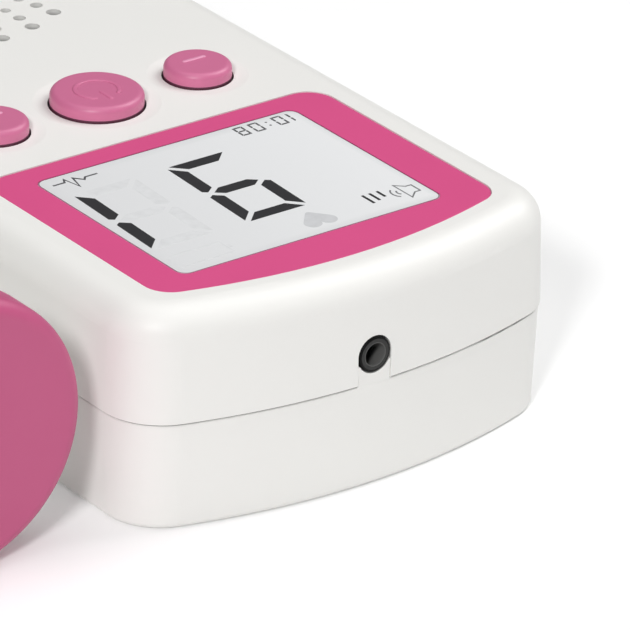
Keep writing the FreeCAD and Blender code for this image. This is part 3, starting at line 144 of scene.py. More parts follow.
# ------------------------------------------------------------------ finishes
class Finish:
    """One node material, with the steps that the finishes share.  Its patterns lie in the
    part's own space."""

    def __init__(self, name, colour, **sockets):
        self.material = bpy.data.materials.new(name)
        self.material.use_nodes = True
        self.material.diffuse_color = (*colour, 1.0)
        self.nodes = self.material.node_tree.nodes
        self.links = self.material.node_tree.links
        self.shader = next(node for node in self.nodes if node.type == "BSDF_PRINCIPLED")
        self.shader.inputs["Base Color"].default_value = (*colour, 1.0)
        self.place = self.nodes.new("ShaderNodeTexCoord").outputs["Object"]
        for socket, value in sockets.items():
            self.shader.inputs[socket.replace("_", " ")].default_value = value

    def node(self, kind, inputs=(), **options):
        """New node; inputs maps its sockets to outputs of other nodes or to values."""
        made = self.nodes.new(kind)
        for option, value in options.items():
            setattr(made, option, value)
        for socket, value in dict(inputs).items():
            if isinstance(value, bpy.types.NodeSocket):
                self.links.new(value, made.inputs[socket])
            else:
                made.inputs[socket].default_value = value
        return made

    def math(self, operation, first, second=0.0):
        terms = {0: first, 1: second}
        return self.node("ShaderNodeMath", terms, operation=operation).outputs[0]

    def times(self, first, second):
        return self.math("MULTIPLY", first, second)

    def above(self, value, level):
        """One where value is more than level, zero elsewhere."""
        return self.math("GREATER_THAN", value, level)

    def below(self, value, level):
        """One where value is less than level, zero elsewhere."""
        return self.math("LESS_THAN", value, level)

    def rise(self, value, start, end):
        """Zero where value is start, one where it is end, and even between them."""
        limits = {"Value": value, "From Min": start, "From Max": end}
        return self.node("ShaderNodeMapRange", limits).outputs["Result"]

    def stretched(self, scale=(1.0, 1.0, 1.0), offset=(0.0, 0.0, 0.0)):
        """The part's space, scaled and then moved."""
        moved = {"Vector": self.place, "Scale": scale, "Location": offset}
        return self.node("ShaderNodeMapping", moved).outputs["Vector"]

    def axes(self, where=None):
        split = self.node("ShaderNodeSeparateXYZ", {"Vector": where or self.place})
        return [split.outputs[axis] for axis in "XYZ"]

    def facing(self):
        """Upward part of the surface's direction: one on top, zero on a side, minus one below."""
        return self.axes(self.node("ShaderNodeNewGeometry").outputs["Normal"])[2]

    def reach(self, middle, axis):
        """Distance from the line through middle that runs along that axis (0, 1 or 2)."""
        offset = [-value for value in middle]
        offset[axis] = 0.0
        across = self.axes(self.stretched(offset=offset))
        del across[axis]
        return self.math("SQRT", self.math("ADD", *(self.math("POWER", a, 2.0) for a in across)))

    def noise(self, size, detail=3.0, where=None):
        grain = {"Vector": where or self.place, "Scale": 1.0 / size, "Detail": detail}
        return self.node("ShaderNodeTexNoise", grain).outputs["Fac"]

    def cells(self, size):
        grain = {"Vector": self.place, "Scale": 1.0 / size}
        return self.node("ShaderNodeTexVoronoi", grain).outputs["Distance"]

    def stripes(self, value, pitch):
        """Zero to one and back once in every pitch of value."""
        turns = self.math("DIVIDE", value, pitch)
        return self.times(self.math("PINGPONG", turns, 0.5), 2.0)

    def bands(self, factor, *stops):
        """Plain bands of colour along factor; stops are (start, colour)."""
        made = self.node("ShaderNodeValToRGB", {"Fac": factor})
        bar = made.color_ramp
        bar.interpolation = "CONSTANT"
        while len(bar.elements) < len(stops):
            bar.elements.new(1.0)
        for element, (position, colour) in zip(bar.elements, stops):
            element.position = position
            element.color = (*colour, 1.0)
        return made.outputs["Color"]

    def blend(self, factor, first, second):
        """From the first colour to the second; each is an output or three channels."""
        first, second = (value if isinstance(value, bpy.types.NodeSocket) else (*value, 1.0)
                         for value in (first, second))
        mixed = {"Factor": factor, 6: first, 7: second}
        return self.node("ShaderNodeMix", mixed, data_type="RGBA").outputs[2]

    def shades(self, factor, colour, low, high):
        """From one shade of a colour to another, both given as factors of it."""
        return self.blend(factor, lighter(colour, low), lighter(colour, high))

    def paled(self, factor, colour, share):
        """From a colour to the same colour with a share of white in it."""
        return self.blend(factor, colour, self.blend(share, colour, WHITE))

    def colour(self, output):
        self.links.new(output, self.shader.inputs["Base Color"])

    def rough(self, factor, low, high):
        limits = {"Value": factor, "To Min": low, "To Max": high}
        spread = self.node("ShaderNodeMapRange", limits)
        self.links.new(spread.outputs["Result"], self.shader.inputs["Roughness"])
        return self

    def relief(self, height, depth, strength=1.0):
        uneven = {"Height": height, "Distance": depth, "Strength": strength}
        bump = self.node("ShaderNodeBump", uneven)
        self.links.new(bump.outputs["Normal"], self.shader.inputs["Normal"])
        return self


def moulded(name, colour, roughness, grain=GRAIN, depth=GRAIN_DEPTH, drift=0.03,
            parting=None, holes=None, lit_flank=None, shadow_foot=None):
    """Injection-moulded plastic: spark-eroded grain, slow drift of colour, uneven gloss.
    Where parting gives a height, the rounded seam between two shells there gets painted shade.
    Where holes names what lies under small holes, their walls get painted shade that deepens.
    Where a factor is given for the flanks, upright sides get painted light, lighter by it.
    Below a given foot height, in the gap round the piece, the surface gets painted shade."""
    finish = Finish(name, colour, Roughness=roughness)
    slow = finish.noise(DRIFT_PATCH, detail=2.0)
    fine = finish.noise(grain, detail=4.0)
    body = finish.shades(slow, colour, 1.0 - drift, 1.0 + drift)
    # painted shade along the seam between the shells
    if parting is not None:
        body = finish.blend(seam_shadow_mask(finish, parting), body, lighter(colour, SEAM_SHADOW_SHADE))
    # painted shade down the walls of the sound holes
    if holes is not None:
        body = finish.blend(hole_shadow_mask(finish, holes), body, lighter(colour, HOLE_SHADOW_SHADE))
    # painted light on upright sides
    if lit_flank is not None:
        upright = finish.math("SUBTRACT", 1.0, finish.math("ABSOLUTE", finish.facing()))
        body = finish.blend(upright, body, lighter(colour, lit_flank))
    # painted shade in the gap below the foot
    if shadow_foot is not None:
        gap = finish.below(finish.axes()[2], shadow_foot)
        body = finish.blend(gap, body, lighter(colour, KEY_GAP_SHADOW_SHADE))
    finish.colour(body)
    finish.rough(finish.noise(GLOSS_PATCH), roughness - GLOSS_SPREAD, roughness + GLOSS_SPREAD)
    pits = finish.math("ADD", fine, finish.times(finish.cells(grain * PIT_SIZE), PIT_DEPTH))
    return finish.relief(pits, depth).material


def seam_shadow_mask(finish, height, lower=0.14 * MM, upper=0.2 * MM, tilt=0.3):
    """Painted seam shade: one on the rounded edges along a parting line at that height, else zero.
    """
    z = finish.axes()[2]
    near = finish.times(finish.above(z, height - lower), finish.below(z, height + upper))
    return finish.times(near, finish.above(finish.math("ABSOLUTE", finish.facing()), tilt))


def hole_shadow_mask(finish, under, start=0.45 * MM, deep=1.35 * MM):
    """Painted shade in holes: zero at start under the top face, one at deep, above the piece under
    them.
    """
    low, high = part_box(under)
    near = finish.below(finish.reach((low + high) / 2, axis=2), (high.x - low.x) / 2)
    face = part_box("top_shell")[1].z
    return finish.times(finish.rise(finish.axes()[2], face - start, face - deep), near)


def metal(name, colour, roughness, brush=(1.0, 1.0, 1.0), scratch=0.25 * MM):
    """Plated or drawn metal with fine marks; brush stretches them along an axis."""
    finish = Finish(name, colour, Metallic=1.0, Roughness=roughness)
    marks = finish.noise(scratch, detail=5.0, where=finish.stretched(brush))
    finish.colour(finish.shades(marks, colour, low=0.82, high=1.12))
    finish.rough(marks, low=roughness - 0.08, high=roughness + 0.12)
    return finish.relief(marks, depth=0.004 * MM, strength=0.6).material


def screen_paper(name, colour, shade_band_start=1.4 * MM, shade_band_end=3.4 * MM):
    """Reflective display under its polished window, with painted shade in a band along its edges.
    """
    finish = Finish(name, colour, Roughness=0.34, Coat_Weight=0.25, Coat_Roughness=0.08,
                    Specular_IOR_Level=0.35)
    low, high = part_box("display_lens")
    middle = (low + high) / 2
    x, y, _ = finish.axes()
    edges = []
    for along, centre, half in ((x, middle.x, (high.x - low.x) / 2),
                                (y, middle.y, (high.y - low.y) / 2)):
        off = finish.math("ABSOLUTE", finish.math("SUBTRACT", along, centre))
        edges.append(finish.math("SUBTRACT", half, off))
    # painted shade in a band along the window's edges
    shadow_rim = finish.rise(finish.math("MINIMUM", *edges), shade_band_start, shade_band_end)
    speckle = finish.noise(0.22 * MM, detail=2.0)
    # painted light: lighter towards -X, darker towards +X
    light_slope = finish.shades(finish.rise(x, high.x, low.x), colour, low=0.94, high=1.09)
    body = finish.paled(speckle, light_slope, 0.04)
    finish.colour(finish.blend(shadow_rim, lighter(colour, 0.93), body))
    finish.rough(speckle, low=0.30, high=0.38)
    return finish.relief(finish.noise(9 * MM, detail=1.0), depth=0.01 * MM, strength=0.4).material


def ink(name, colour, roughness=0.4):
    """Switched liquid-crystal or printed mark, with the slight unevenness of a thin film."""
    finish = Finish(name, colour, Roughness=roughness, Specular_IOR_Level=0.3)
    cloud = finish.noise(1.3 * MM)
    finish.colour(finish.shades(cloud, colour, low=0.9, high=1.1))
    return finish.rough(cloud, low=roughness - 0.06, high=roughness + 0.06).material


def board(name, mask, copper, lattice=1.27 * MM, cloth=0.6 * MM, pads=3.2 * MM):
    """Solder mask over copper tracks that run square, with plated pads and the cloth's weave."""
    finish = Finish(name, mask, Roughness=0.35, Coat_Weight=0.3, Coat_Roughness=0.15)
    x, y, _ = finish.axes()
    patch = finish.above(finish.noise(9 * MM, detail=0.0), 0.5)
    along = finish.blend(patch, finish.stripes(x, lattice), finish.stripes(y, lattice))
    present = finish.above(finish.noise(5 * MM, detail=0.0), 0.46)
    tracks = finish.times(finish.above(along, 0.62), present)
    pad = finish.below(finish.cells(pads), 0.12)
    weave = finish.times(finish.stripes(x, cloth), finish.stripes(y, cloth))
    lit = finish.blend(tracks, finish.shades(weave, mask, low=0.85, high=1.1), lighter(mask, 1.8))
    finish.colour(finish.blend(pad, lit, copper))
    return finish.relief(finish.math("ADD", tracks, pad), depth=0.03 * MM).material


def jacket(name, body, band, low, length, nub_side):
    """Shrink sleeve of a cell: plain body, one broad band at the end with the nub, two rules."""
    finish = Finish(name, body, Roughness=0.25, Coat_Weight=0.4, Coat_Roughness=0.1, Metallic=0.2)
    start, end = (low + length, low) if nub_side > 0 else (low, low + length)
    tin = (0.6, 0.6, 0.62)
    rule = (0.75, 0.75, 0.76)
    along = finish.rise(finish.axes()[1], start, end)
    paint = finish.bands(along, (0.0, tin), (0.015, band), (0.245, rule), (0.255, body),
                         (0.905, rule), (0.915, body), (0.985, tin))
    finish.colour(finish.paled(finish.noise(6 * MM), paint, 0.06))
    return finish.relief(finish.noise(4 * MM, detail=4.0), depth=0.02 * MM, strength=0.5).material


def sleeve(name, body, band, stripe_share=0.22, dash_pitch=1.6 * MM):
    """Capacitor sleeve with the pale stripe that marks its negative side."""
    finish = Finish(name, body, Roughness=0.3, Coat_Weight=0.3, Coat_Roughness=0.12)
    _, y, z = finish.axes()
    low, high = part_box("capacitors")
    stripe = finish.below(y, low.y + (high.y - low.y) * stripe_share)
    dash = finish.above(finish.stripes(z, dash_pitch), 0.55)
    printed = finish.blend(finish.times(stripe, dash), body, band)
    finish.colour(finish.paled(finish.noise(2 * MM), printed, 0.05))
    return finish.relief(finish.noise(1.1 * MM), depth=0.01 * MM, strength=0.5).material


def foam(name, colour, pore):
    """Soft foam with open pores."""
    finish = Finish(name, colour, Roughness=0.92, Specular_IOR_Level=0.2)
    pores = finish.cells(pore)
    finish.colour(finish.shades(pores, colour, low=0.5, high=1.7))
    return finish.relief(pores, pore * 0.4).material


def ringed(name, colour, roughness, middle, pitch, depth, metallic=0.0):
    """Rings about an upright axis, such as the ribs of a loudspeaker's cone or turned marks."""
    finish = Finish(name, colour, Roughness=roughness, Metallic=metallic)
    rings = finish.stripes(finish.reach(middle, axis=2), pitch)
    fibre = finish.noise(0.5 * MM, detail=4.0)
    finish.colour(finish.shades(fibre, colour, low=0.8, high=1.25))
    finish.rough(fibre, low=roughness - 0.06, high=roughness + 0.06)
    return finish.relief(finish.math("ADD", rings, finish.times(fibre, 0.3)), depth).material


def layered(name, dark, light, axis, pitch, roughness, metallic=0.0):
    """Fine layers or windings stacked along an axis."""
    finish = Finish(name, dark, Roughness=roughness, Metallic=metallic)
    layer = finish.stripes(finish.axes()[axis], pitch)
    finish.colour(finish.blend(layer, dark, light))
    finish.rough(layer, low=roughness - 0.05, high=roughness + 0.1)
    return finish.relief(layer, pitch * 0.2).material


def speckled(name, colour, fleck, size, share, roughness):
    """Filled resin, rubber or ceramic: a matt body with scattered flecks."""
    finish = Finish(name, colour, Roughness=roughness)
    flecks = finish.below(finish.cells(size), share)
    cloud = finish.noise(size * 6)
    finish.colour(finish.blend(flecks, finish.shades(cloud, colour, low=0.85, high=1.15), fleck))
    finish.rough(cloud, low=roughness - 0.08, high=roughness + 0.08)
    return finish.relief(finish.noise(size, detail=4.0), size * 0.05).material


def dotted_guide(name, colour, dot, pitch=0.8 * MM):
    """Light guide with its printed grid of dots."""
    finish = Finish(name, colour, Roughness=0.2, Coat_Weight=0.4, Coat_Roughness=0.1)
    x, y, _ = finish.axes()
    dots = finish.above(finish.times(finish.stripes(x, pitch), finish.stripes(y, pitch)), 0.55)
    finish.colour(finish.blend(dots, colour, dot))
    return finish.relief(dots, depth=0.02 * MM).material


def glass_plates(name, colour, line, pitch=1.1 * MM):
    """Two bonded glass plates with the faint conductor lines between them."""
    finish = Finish(name, colour, Roughness=0.1, Coat_Weight=0.6, Coat_Roughness=0.03)
    lines = finish.above(finish.stripes(finish.axes()[0], pitch), 0.86)
    finish.colour(finish.blend(lines, colour, line))
    return finish.relief(finish.noise(6 * MM, detail=1.0), depth=0.01 * MM, strength=0.3).material


def socket_face(name, ring, bore_wall_light, bore, shadow_rim=0.35 * MM):
    """Socket insert about an axis along Y: dark ring with painted shadow as a black rim, paler bore
    wall.
    """
    finish = Finish(name, ring, Roughness=0.42, Specular_IOR_Level=0.1)
    low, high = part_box("jack_sleeve")
    radius = finish.reach((low + high) / 2, axis=1)
    cloud = finish.noise(0.8 * MM)
    # painted shadow: a black rim at the ring's edge
    edge = finish.above(radius, (high.x - low.x) / 2 - shadow_rim)
    outside = finish.blend(edge, finish.shades(cloud, ring, low=0.8, high=1.2), lighter(ring, 0.1))
    # the bore's paler wall: partly the metal of its contacts, partly painted light in the bore
    finish.colour(finish.blend(finish.below(radius, bore), outside, bore_wall_light))
    finish.rough(cloud, low=0.34, high=0.5)
    return finish.relief(finish.noise(0.4 * MM), depth=0.002 * MM).material


# ------------------------------------------------------------------ making pieces
def dress(material, *names):
    """Puts a material on the part's nodes of those names."""
    for name in names:
        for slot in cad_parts[name].material_slots:
            slot.material = material


def placed(name, data):
    """New object in the scene."""
    made = bpy.data.objects.new(name, data)
    bpy.context.scene.collection.objects.link(made)
    return made


def finished_piece(name, bm, material, body, smooth=False):
    """Turns a bmesh into a piece that rides on a body."""
    bmesh.ops.recalc_face_normals(bm, faces=bm.faces)
    mesh = bpy.data.meshes.new(name)
    bm.to_mesh(mesh)
    bm.free()
    for polygon in mesh.polygons:
        polygon.use_smooth = smooth
    mesh.materials.append(material)
    piece = placed(name, mesh)
    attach(piece, body)


def bridge(bm, first, second):
    """Faces between two closed rings of vertices."""
    for k in range(len(first)):
        following = (k + 1) % len(first)
        bm.faces.new((first[k], first[following], second[following], second[k]))


def slab(bm, outline, low, high):
    """Closed flat solid over a plan outline of (x, y) points."""
    under = [bm.verts.new((x, y, low)) for x, y in outline]
    over = [bm.verts.new((x, y, high)) for x, y in outline]
    bm.faces.new(list(reversed(under)))
    bm.faces.new(over)
    bridge(bm, under, over)


def side_points(points, width, closed, sharpest=0.5):
    """Left and right edge points of a line of that width; sharpest limits how far a corner
    reaches out."""
    left, right = [], []
    count = len(points)
    for k, (x, y) in enumerate(points):
        before = points[k - 1] if k or closed else points[k]
        after = points[(k + 1) % count] if k + 1 < count or closed else points[k]
        into = Vector((x - before[0], y - before[1]))
        out = Vector((after[0] - x, after[1] - y))
        into = (into if into.length else out).normalized()
        out = (out if out.length else into).normalized()
        mean = (into + out).normalized()
        reach = width / 2 / max(sharpest, mean.dot(into))
        across = Vector((-mean.y, mean.x)) * reach
        left.append((x + across.x, y + across.y))
        right.append((x - across.x, y - across.y))
    return left, right


def stroke(bm, points, width, low, high, closed=False):
    """Closed flat solid along a line of (x, y) points."""
    left, right = side_points(points, width, closed)
    rings = [[bm.verts.new((x, y, z)) for (x, y), z in ((a, low), (b, low), (b, high), (a, high))]
             for a, b in zip(left, right)]
    for first, second in zip(rings, rings[1:] + rings[:1] if closed else rings[1:]):
        bridge(bm, first, second)
    if not closed:
        bm.faces.new(list(reversed(rings[0])))
        bm.faces.new(rings[-1])


def arc(centre, radius, start, end, steps):
    """Points of a circular arc; angles in degrees, anticlockwise from +X."""
    angles = [math.radians(start + (end - start) * k / steps) for k in range(steps + 1)]
    return [(centre[0] + radius * math.cos(a), centre[1] + radius * math.sin(a)) for a in angles]


def bead(bm, points, width, height, level, sections=7, cap_steps=4, sunk=0.2, least=0.02):
    """Half-round raised line with rounded ends, standing on the height level.  A share of its
    height is sunk, and its ends come down to the least share of its size."""
    route = [Vector((x, y)) for x, y in points]
    start_way = (route[0] - route[1]).normalized()
    end_way = (route[-1] - route[-2]).normalized()
    half = width / 2
    turns = [math.pi / 2 * k / cap_steps for k in range(1, cap_steps + 1)]
    stations = [(route[0] + start_way * half * math.sin(turn), -start_way, math.cos(turn))
                for turn in reversed(turns)]
    for k, point in enumerate(route):
        ahead = route[min(k + 1, len(route) - 1)] - route[max(k - 1, 0)]
        stations.append((point, ahead.normalized(), 1.0))
    stations += [(route[-1] + end_way * half * math.sin(turn), end_way, math.cos(turn))
                 for turn in turns]
    base = level - height * sunk
    rings = []
    for point, way, scale in stations:
        scale = max(scale, least)
        across = Vector((-way.y, way.x)) * half * scale
        ring = [bm.verts.new((*(point + across), base)), bm.verts.new((*(point - across), base))]
        for k in range(sections):
            turn = math.pi * (k + 1) / (sections + 1)
            side = point - across * math.cos(turn)
            ring.append(bm.verts.new((*side, level + height * scale * math.sin(turn))))
        rings.append(ring)
    for first, second in zip(rings, rings[1:]):
        bridge(bm, first, second)
    bm.faces.new(rings[0])
    bm.faces.new(list(reversed(rings[-1])))


# ------------------------------------------------------------------ display picture
SEGMENTS_OF = {"0": "abcdef", "1": "bc", "2": "abdeg", "3": "abcdg", "4": "bcfg", "5": "acdfg",
               "6": "acdefg", "7": "abc", "8": "abcdefg", "9": "abcdfg", " ": ""}
PICTURE_THICK = 0.015 * MM
LINE = 0.3 * MM
DIGIT_LEFT = -22.4 * MM      # left side of the first large digit
DIGIT_BASE = 21.77 * MM
DIGIT_GAP = 0.6 * MM         # cut back along each side of a corner
DIGIT_SLANT = 0.04
CLOCK_LEFT = -22.9 * MM
CLOCK_BASE = 15.95 * MM
CLOCK_DIGIT = (1.75 * MM, 3.0 * MM)
CLOCK_PITCH = 2.75 * MM
CLOCK_STROKE = 0.34 * MM
CLOCK_GAP = CLOCK_STROKE * 0.15
COLON_WIDTH = 1.6 * MM
COLON_DOT = CLOCK_STROKE * 0.6
COLON_HEIGHTS = (0.3, 0.7)   # of the two dots, as shares of a digit's height
HEART_MIDDLE = (-3.15 * MM, 48.1 * MM)
HEART_WIDTH = 5.6 * MM
HEART_HEIGHT = 4.9 * MM
HEART_LOBE = (175, -38)      # a lobe's start and end, in degrees
HEART_BLUNT = 0.35 * MM      # half of the flat beside the tip
BARS_X = (-13.46 * MM, -14.78 * MM, -16.18 * MM)
BARS_TOP = (48.65 * MM, 48.25 * MM, 47.75 * MM)
BARS_BASE = 45.6 * MM
BAR_WIDTH = 0.46 * MM
SPEAKER_BACK = -21.8 * MM
SPEAKER_MIDDLE = 47.75 * MM
SPEAKER_LINE = LINE * 0.9
SPEAKER_NECK = (1.0 * MM, 1.15 * MM)     # from the back, and half of the height
SPEAKER_MOUTH = (2.4 * MM, 2.4 * MM)
SPEAKER_WAVES = ((0.9 * MM, 46), (1.8 * MM, 48))     # radius, and half angle in degrees
WAVE_START = 0.1 * MM        # from the mouth to the middle of the waves
TRACE_LEFT = 14.6 * MM
TRACE_BASE = 17.6 * MM
TRACE_LINE = LINE * 1.15
TRACE_BEAT = ((0.0, 0.0), (2.2, 0.0), (2.8, 0.7), (3.4, 0.0), (4.0, -0.7), (4.7, 2.3),
              (5.4, -1.0), (5.9, 0.0), (8.0, 0.0))   # in millimetres
BATTERY_LEFT = 13.4 * MM
BATTERY_BASE = 46.5 * MM
BATTERY_SIZE = (9.6 * MM, 3.8 * MM)
NUB_REACH = (0.8 * MM, 0.3 * MM)         # the nub's two ends, out from the outline
NUB_HEIGHTS = (0.36, 0.64)   # its lower and upper side, as shares of the outline's height
WINDOW_CORNER = 1.7 * MM
# width of the painted shadow line round the window
WINDOW_SHADOW_WIDTH = 0.14 * MM


def digit_outlines(left, base, width, height, thick, gap, slant=0.0):
    """Plan outlines of the seven segments, a to g, of a digit that reads upright from the keys."""
    right = left + width
    top = base + height
    middle = base + height / 2
    half = thick / 2
    inner_left = left + thick
    inner_right = right - thick
    point = half + gap * 0.7         # a side to the middle bar's point
    shoulder = gap * 1.2             # the middle bar's slope, past the sides' thickness
    bevel = half * 0.7               # cut off a side bar's inner end
    notch = gap * 0.9                # the middle to a side bar's end
    shapes = {
        "a": [(left + gap, top), (right - gap, top), (inner_right - gap, top - thick),
              (inner_left + gap, top - thick)],
        "g": [(left + point, middle), (inner_left + shoulder, middle + half),
              (inner_right - shoulder, middle + half), (right - point, middle),
              (inner_right - shoulder, middle - half), (inner_left + shoulder, middle - half)],
        "b": [(right, top - gap), (right, middle + half), (right - bevel, middle + notch),
              (inner_right, middle + half + gap), (inner_right, top - thick - gap)],
    }
    shapes["d"] = [(x, 2 * middle - y) for x, y in shapes["a"]]
    shapes["c"] = [(x, 2 * middle - y) for x, y in shapes["b"]]
    for letter, twin in (("f", "b"), ("e", "c")):
        shapes[letter] = [(left + right - x, y) for x, y in shapes[twin]]
    return {letter: [(x + slant * (y - middle), y) for x, y in outline]
            for letter, outline in shapes.items()}


def picture(name, draw, material):
    """One printed or switched part of the picture, laid on the window's face."""
    bm = bmesh.new()
    draw(bm, LENS_FACE, LENS_FACE + PICTURE_THICK)
    finished_piece(name, bm, material, "main_unit")


def draw_reading(display, lit):
    """Drawer of the large digits' lit segments, or of the unlit ones of the last digit."""
    def draw(bm, low, high):
        last = len(display.reading) - 1
        for place, sign in enumerate(display.reading):
            if not lit and place != last:
                continue
            left = DIGIT_LEFT + display.digit_pitch * place
            shapes = digit_outlines(left, DIGIT_BASE, display.digit_width, display.digit_height,
                                    display.stroke, DIGIT_GAP, DIGIT_SLANT)
            for letter, outline in shapes.items():
                if (letter in SEGMENTS_OF[sign]) == lit:
                    slab(bm, outline, low, high)
    return draw


def draw_clock(display):
    """Drawer of the small digits, with two eight-sided dots for a colon."""
    def draw(bm, low, high):
        width, height = CLOCK_DIGIT
        left = CLOCK_LEFT
        for sign in display.clock:
            if sign == ":":
                x = left + COLON_WIDTH / 2 - (CLOCK_PITCH - width) / 2
                for share in COLON_HEIGHTS:
                    dot = (x, CLOCK_BASE + height * share)
                    slab(bm, arc(dot, COLON_DOT, start=0, end=315, steps=7), low, high)
                left += COLON_WIDTH
                continue
            shapes = digit_outlines(left, CLOCK_BASE, width, height, CLOCK_STROKE, CLOCK_GAP)
            for letter in SEGMENTS_OF[sign]:
                slab(bm, shapes[letter], low, high)
            left += CLOCK_PITCH
    return draw


def draw_window_shadow_line(bm, low, high):
    """Painted shadow: thin dark line round the face of the window, just inside its edge."""
    face = [vertex.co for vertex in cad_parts["display_lens"].data.vertices
            if vertex.co.z > LENS_FACE - PICTURE_THICK]
    inset = WINDOW_CORNER + WINDOW_SHADOW_WIDTH / 2
    left, *_, right = sorted(corner.x for corner in face)
    near, *_, far = sorted(corner.y for corner in face)
    left, right, near, far = left + inset, right - inset, near + inset, far - inset
    round_trip = []
    for turn, centre in enumerate(((right, far), (left, far), (left, near), (right, near))):
        round_trip += arc(centre, WINDOW_CORNER, 90 * turn, 90 * turn + 90, steps=8)
    stroke(bm, round_trip, WINDOW_SHADOW_WIDTH, low, high, closed=True)


def draw_heart(bm, low, high):
    """Two round lobes towards the display end and a blunt tip."""
    radius = HEART_WIDTH / 4
    x, y = HEART_MIDDLE
    lobe = (x + radius, y + HEART_HEIGHT / 2 - radius)
    tip = y - HEART_HEIGHT / 2
    flat = tip + HEART_BLUNT * 0.4
    right = arc(lobe, radius, *HEART_LOBE, steps=14)
    left = [(2 * x - px, py) for px, py in reversed(right)]
    slab(bm, right + [(x + HEART_BLUNT, flat), (x, tip), (x - HEART_BLUNT, flat)] + left, low, high)


def draw_bars(bm, low, high):
    """Three bars of the sound level."""
    for x, top in zip(BARS_X, BARS_TOP):
        stroke(bm, [(x, BARS_BASE), (x, top)], BAR_WIDTH, low, high)


def draw_speaker(bm, low, high):
    """Outline of a small loudspeaker with two sound waves."""
    y = SPEAKER_MIDDLE
    (neck, neck_half), (mouth, mouth_half) = SPEAKER_NECK, SPEAKER_MOUTH
    upper = [(SPEAKER_BACK, neck_half), (SPEAKER_BACK + neck, neck_half),
             (SPEAKER_BACK + mouth, mouth_half)]
    body = [(x, y + half) for x, half in upper] + [(x, y - half) for x, half in reversed(upper)]
    stroke(bm, body, SPEAKER_LINE, low, high, closed=True)
    source = (SPEAKER_BACK + mouth + WAVE_START, y)
    for radius, spread in SPEAKER_WAVES:
        stroke(bm, arc(source, radius, -spread, spread, steps=10), SPEAKER_LINE, low, high)


def draw_trace(bm, low, high):
    """Pulse trace: a flat line with one beat."""
    stroke(bm, [(TRACE_LEFT + x * MM, TRACE_BASE + y * MM) for x, y in TRACE_BEAT], TRACE_LINE,
           low, high)


def draw_battery(bm, low, high):
    """Outline of a cell with its nub on the side of the middle."""
    x, y = BATTERY_LEFT, BATTERY_BASE
    wide, tall = BATTERY_SIZE
    case = [(x, y), (x + wide, y), (x + wide, y + tall), (x, y + tall)]
    stroke(bm, case, LINE, low, high, closed=True)
    outer, inner = (x - reach for reach in NUB_REACH)
    under, over = (y + tall * share for share in NUB_HEIGHTS)
    slab(bm, [(outer, under), (inner, under), (inner, over), (outer, over)], low, high)


# ------------------------------------------------------------------ operators
class DOPPLER_OT_case(bpy.types.Operator):
    """Finish the white mouldings: both shells, the battery door, the clip and the probe's handle"""
    bl_idname = "doppler.case"
    bl_label = "Case and Handle"

    drift = 0.006

    def execute(self, context):
        case = context.scene.doppler_case
        look = (tuple(case.white), case.roughness, case.grain, case.grain_depth, self.drift)
        # the shells get painted shade along their seam and in the sound holes
        shells = moulded("case_white", *look, parting=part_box("top_shell")[0].z,
                         holes="speaker_frame")
        dress(shells, "top_shell", "bottom_shell")
        # the probe's handle gets painted shade along its seam
        handle = moulded("handle_white", *look, parting=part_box("probe_shell_upper")[0].z)
        dress(handle, "probe_shell_upper", "probe_shell_lower")
        dress(moulded("part_white", *look), "battery_door", "probe_clip")
        return {"FINISHED"}


class DOPPLER_OT_surround(bpy.types.Operator):
    """Finish the pink surround of the display"""
    bl_idname = "doppler.surround"
    bl_label = "Display Surround"

    def execute(self, context):
        pink = tuple(context.scene.doppler_pink.surround)
        dress(moulded("surround_pink", pink, roughness=0.36, grain=0.5 * MM, depth=0.002 * MM,
                      drift=0.05), "display_bezel")
        return {"FINISHED"}


class DOPPLER_OT_display(bpy.types.Operator):
    """Finish the window and the display behind it, and lay its picture on it"""
    bl_idname = "doppler.display"
    bl_label = "Display"

    def execute(self, context):
        display = context.scene.doppler_display
        dress(screen_paper("screen_paper", tuple(display.paper)), "display_lens")
        dress(glass_plates("display_glass", (0.55, 0.6, 0.56), line=(0.4, 0.46, 0.42)),
              "lcd_glass")
        dress(dotted_guide("light_guide", (0.84, 0.88, 0.87), dot=(0.97, 0.98, 0.98)),
              "lcd_backlight")
        dress(moulded("tray_white", (0.8, 0.8, 0.77), roughness=0.5), "lcd_tray")
        dress(layered("contact_rubber", dark=(0.03, 0.03, 0.03), light=(0.35, 0.3, 0.28), axis=0,
                      pitch=0.5 * MM, roughness=0.7), "zebra_strip")
        dark = ink("segment_dark", tuple(display.ink))
        line = ink("line_grey", linear(120, 120, 122))
        thin = ink("thin_dark", linear(82, 82, 84))
        pale = ink("symbol_pale", linear(203, 204, 206))
        ghost = ink("segment_unlit", linear(218, 219, 220))
        # painted shadow along the window's edge
        edge = ink("edge_shadow_line", linear(128, 72, 100))
        picture("segments_unlit", draw_reading(display, False), ghost)
        picture("segments_lit", draw_reading(display, True), dark)
        picture("clock_digits", draw_clock(display), thin)
        picture("heart_symbol", draw_heart, pale)
        picture("volume_bars", draw_bars, dark)
        picture("speaker_symbol", draw_speaker, line)
        picture("pulse_symbol", draw_trace, thin)
        picture("battery_symbol", draw_battery, ghost)
        picture("window_shadow_line", draw_window_shadow_line, edge)
        return {"FINISHED"}


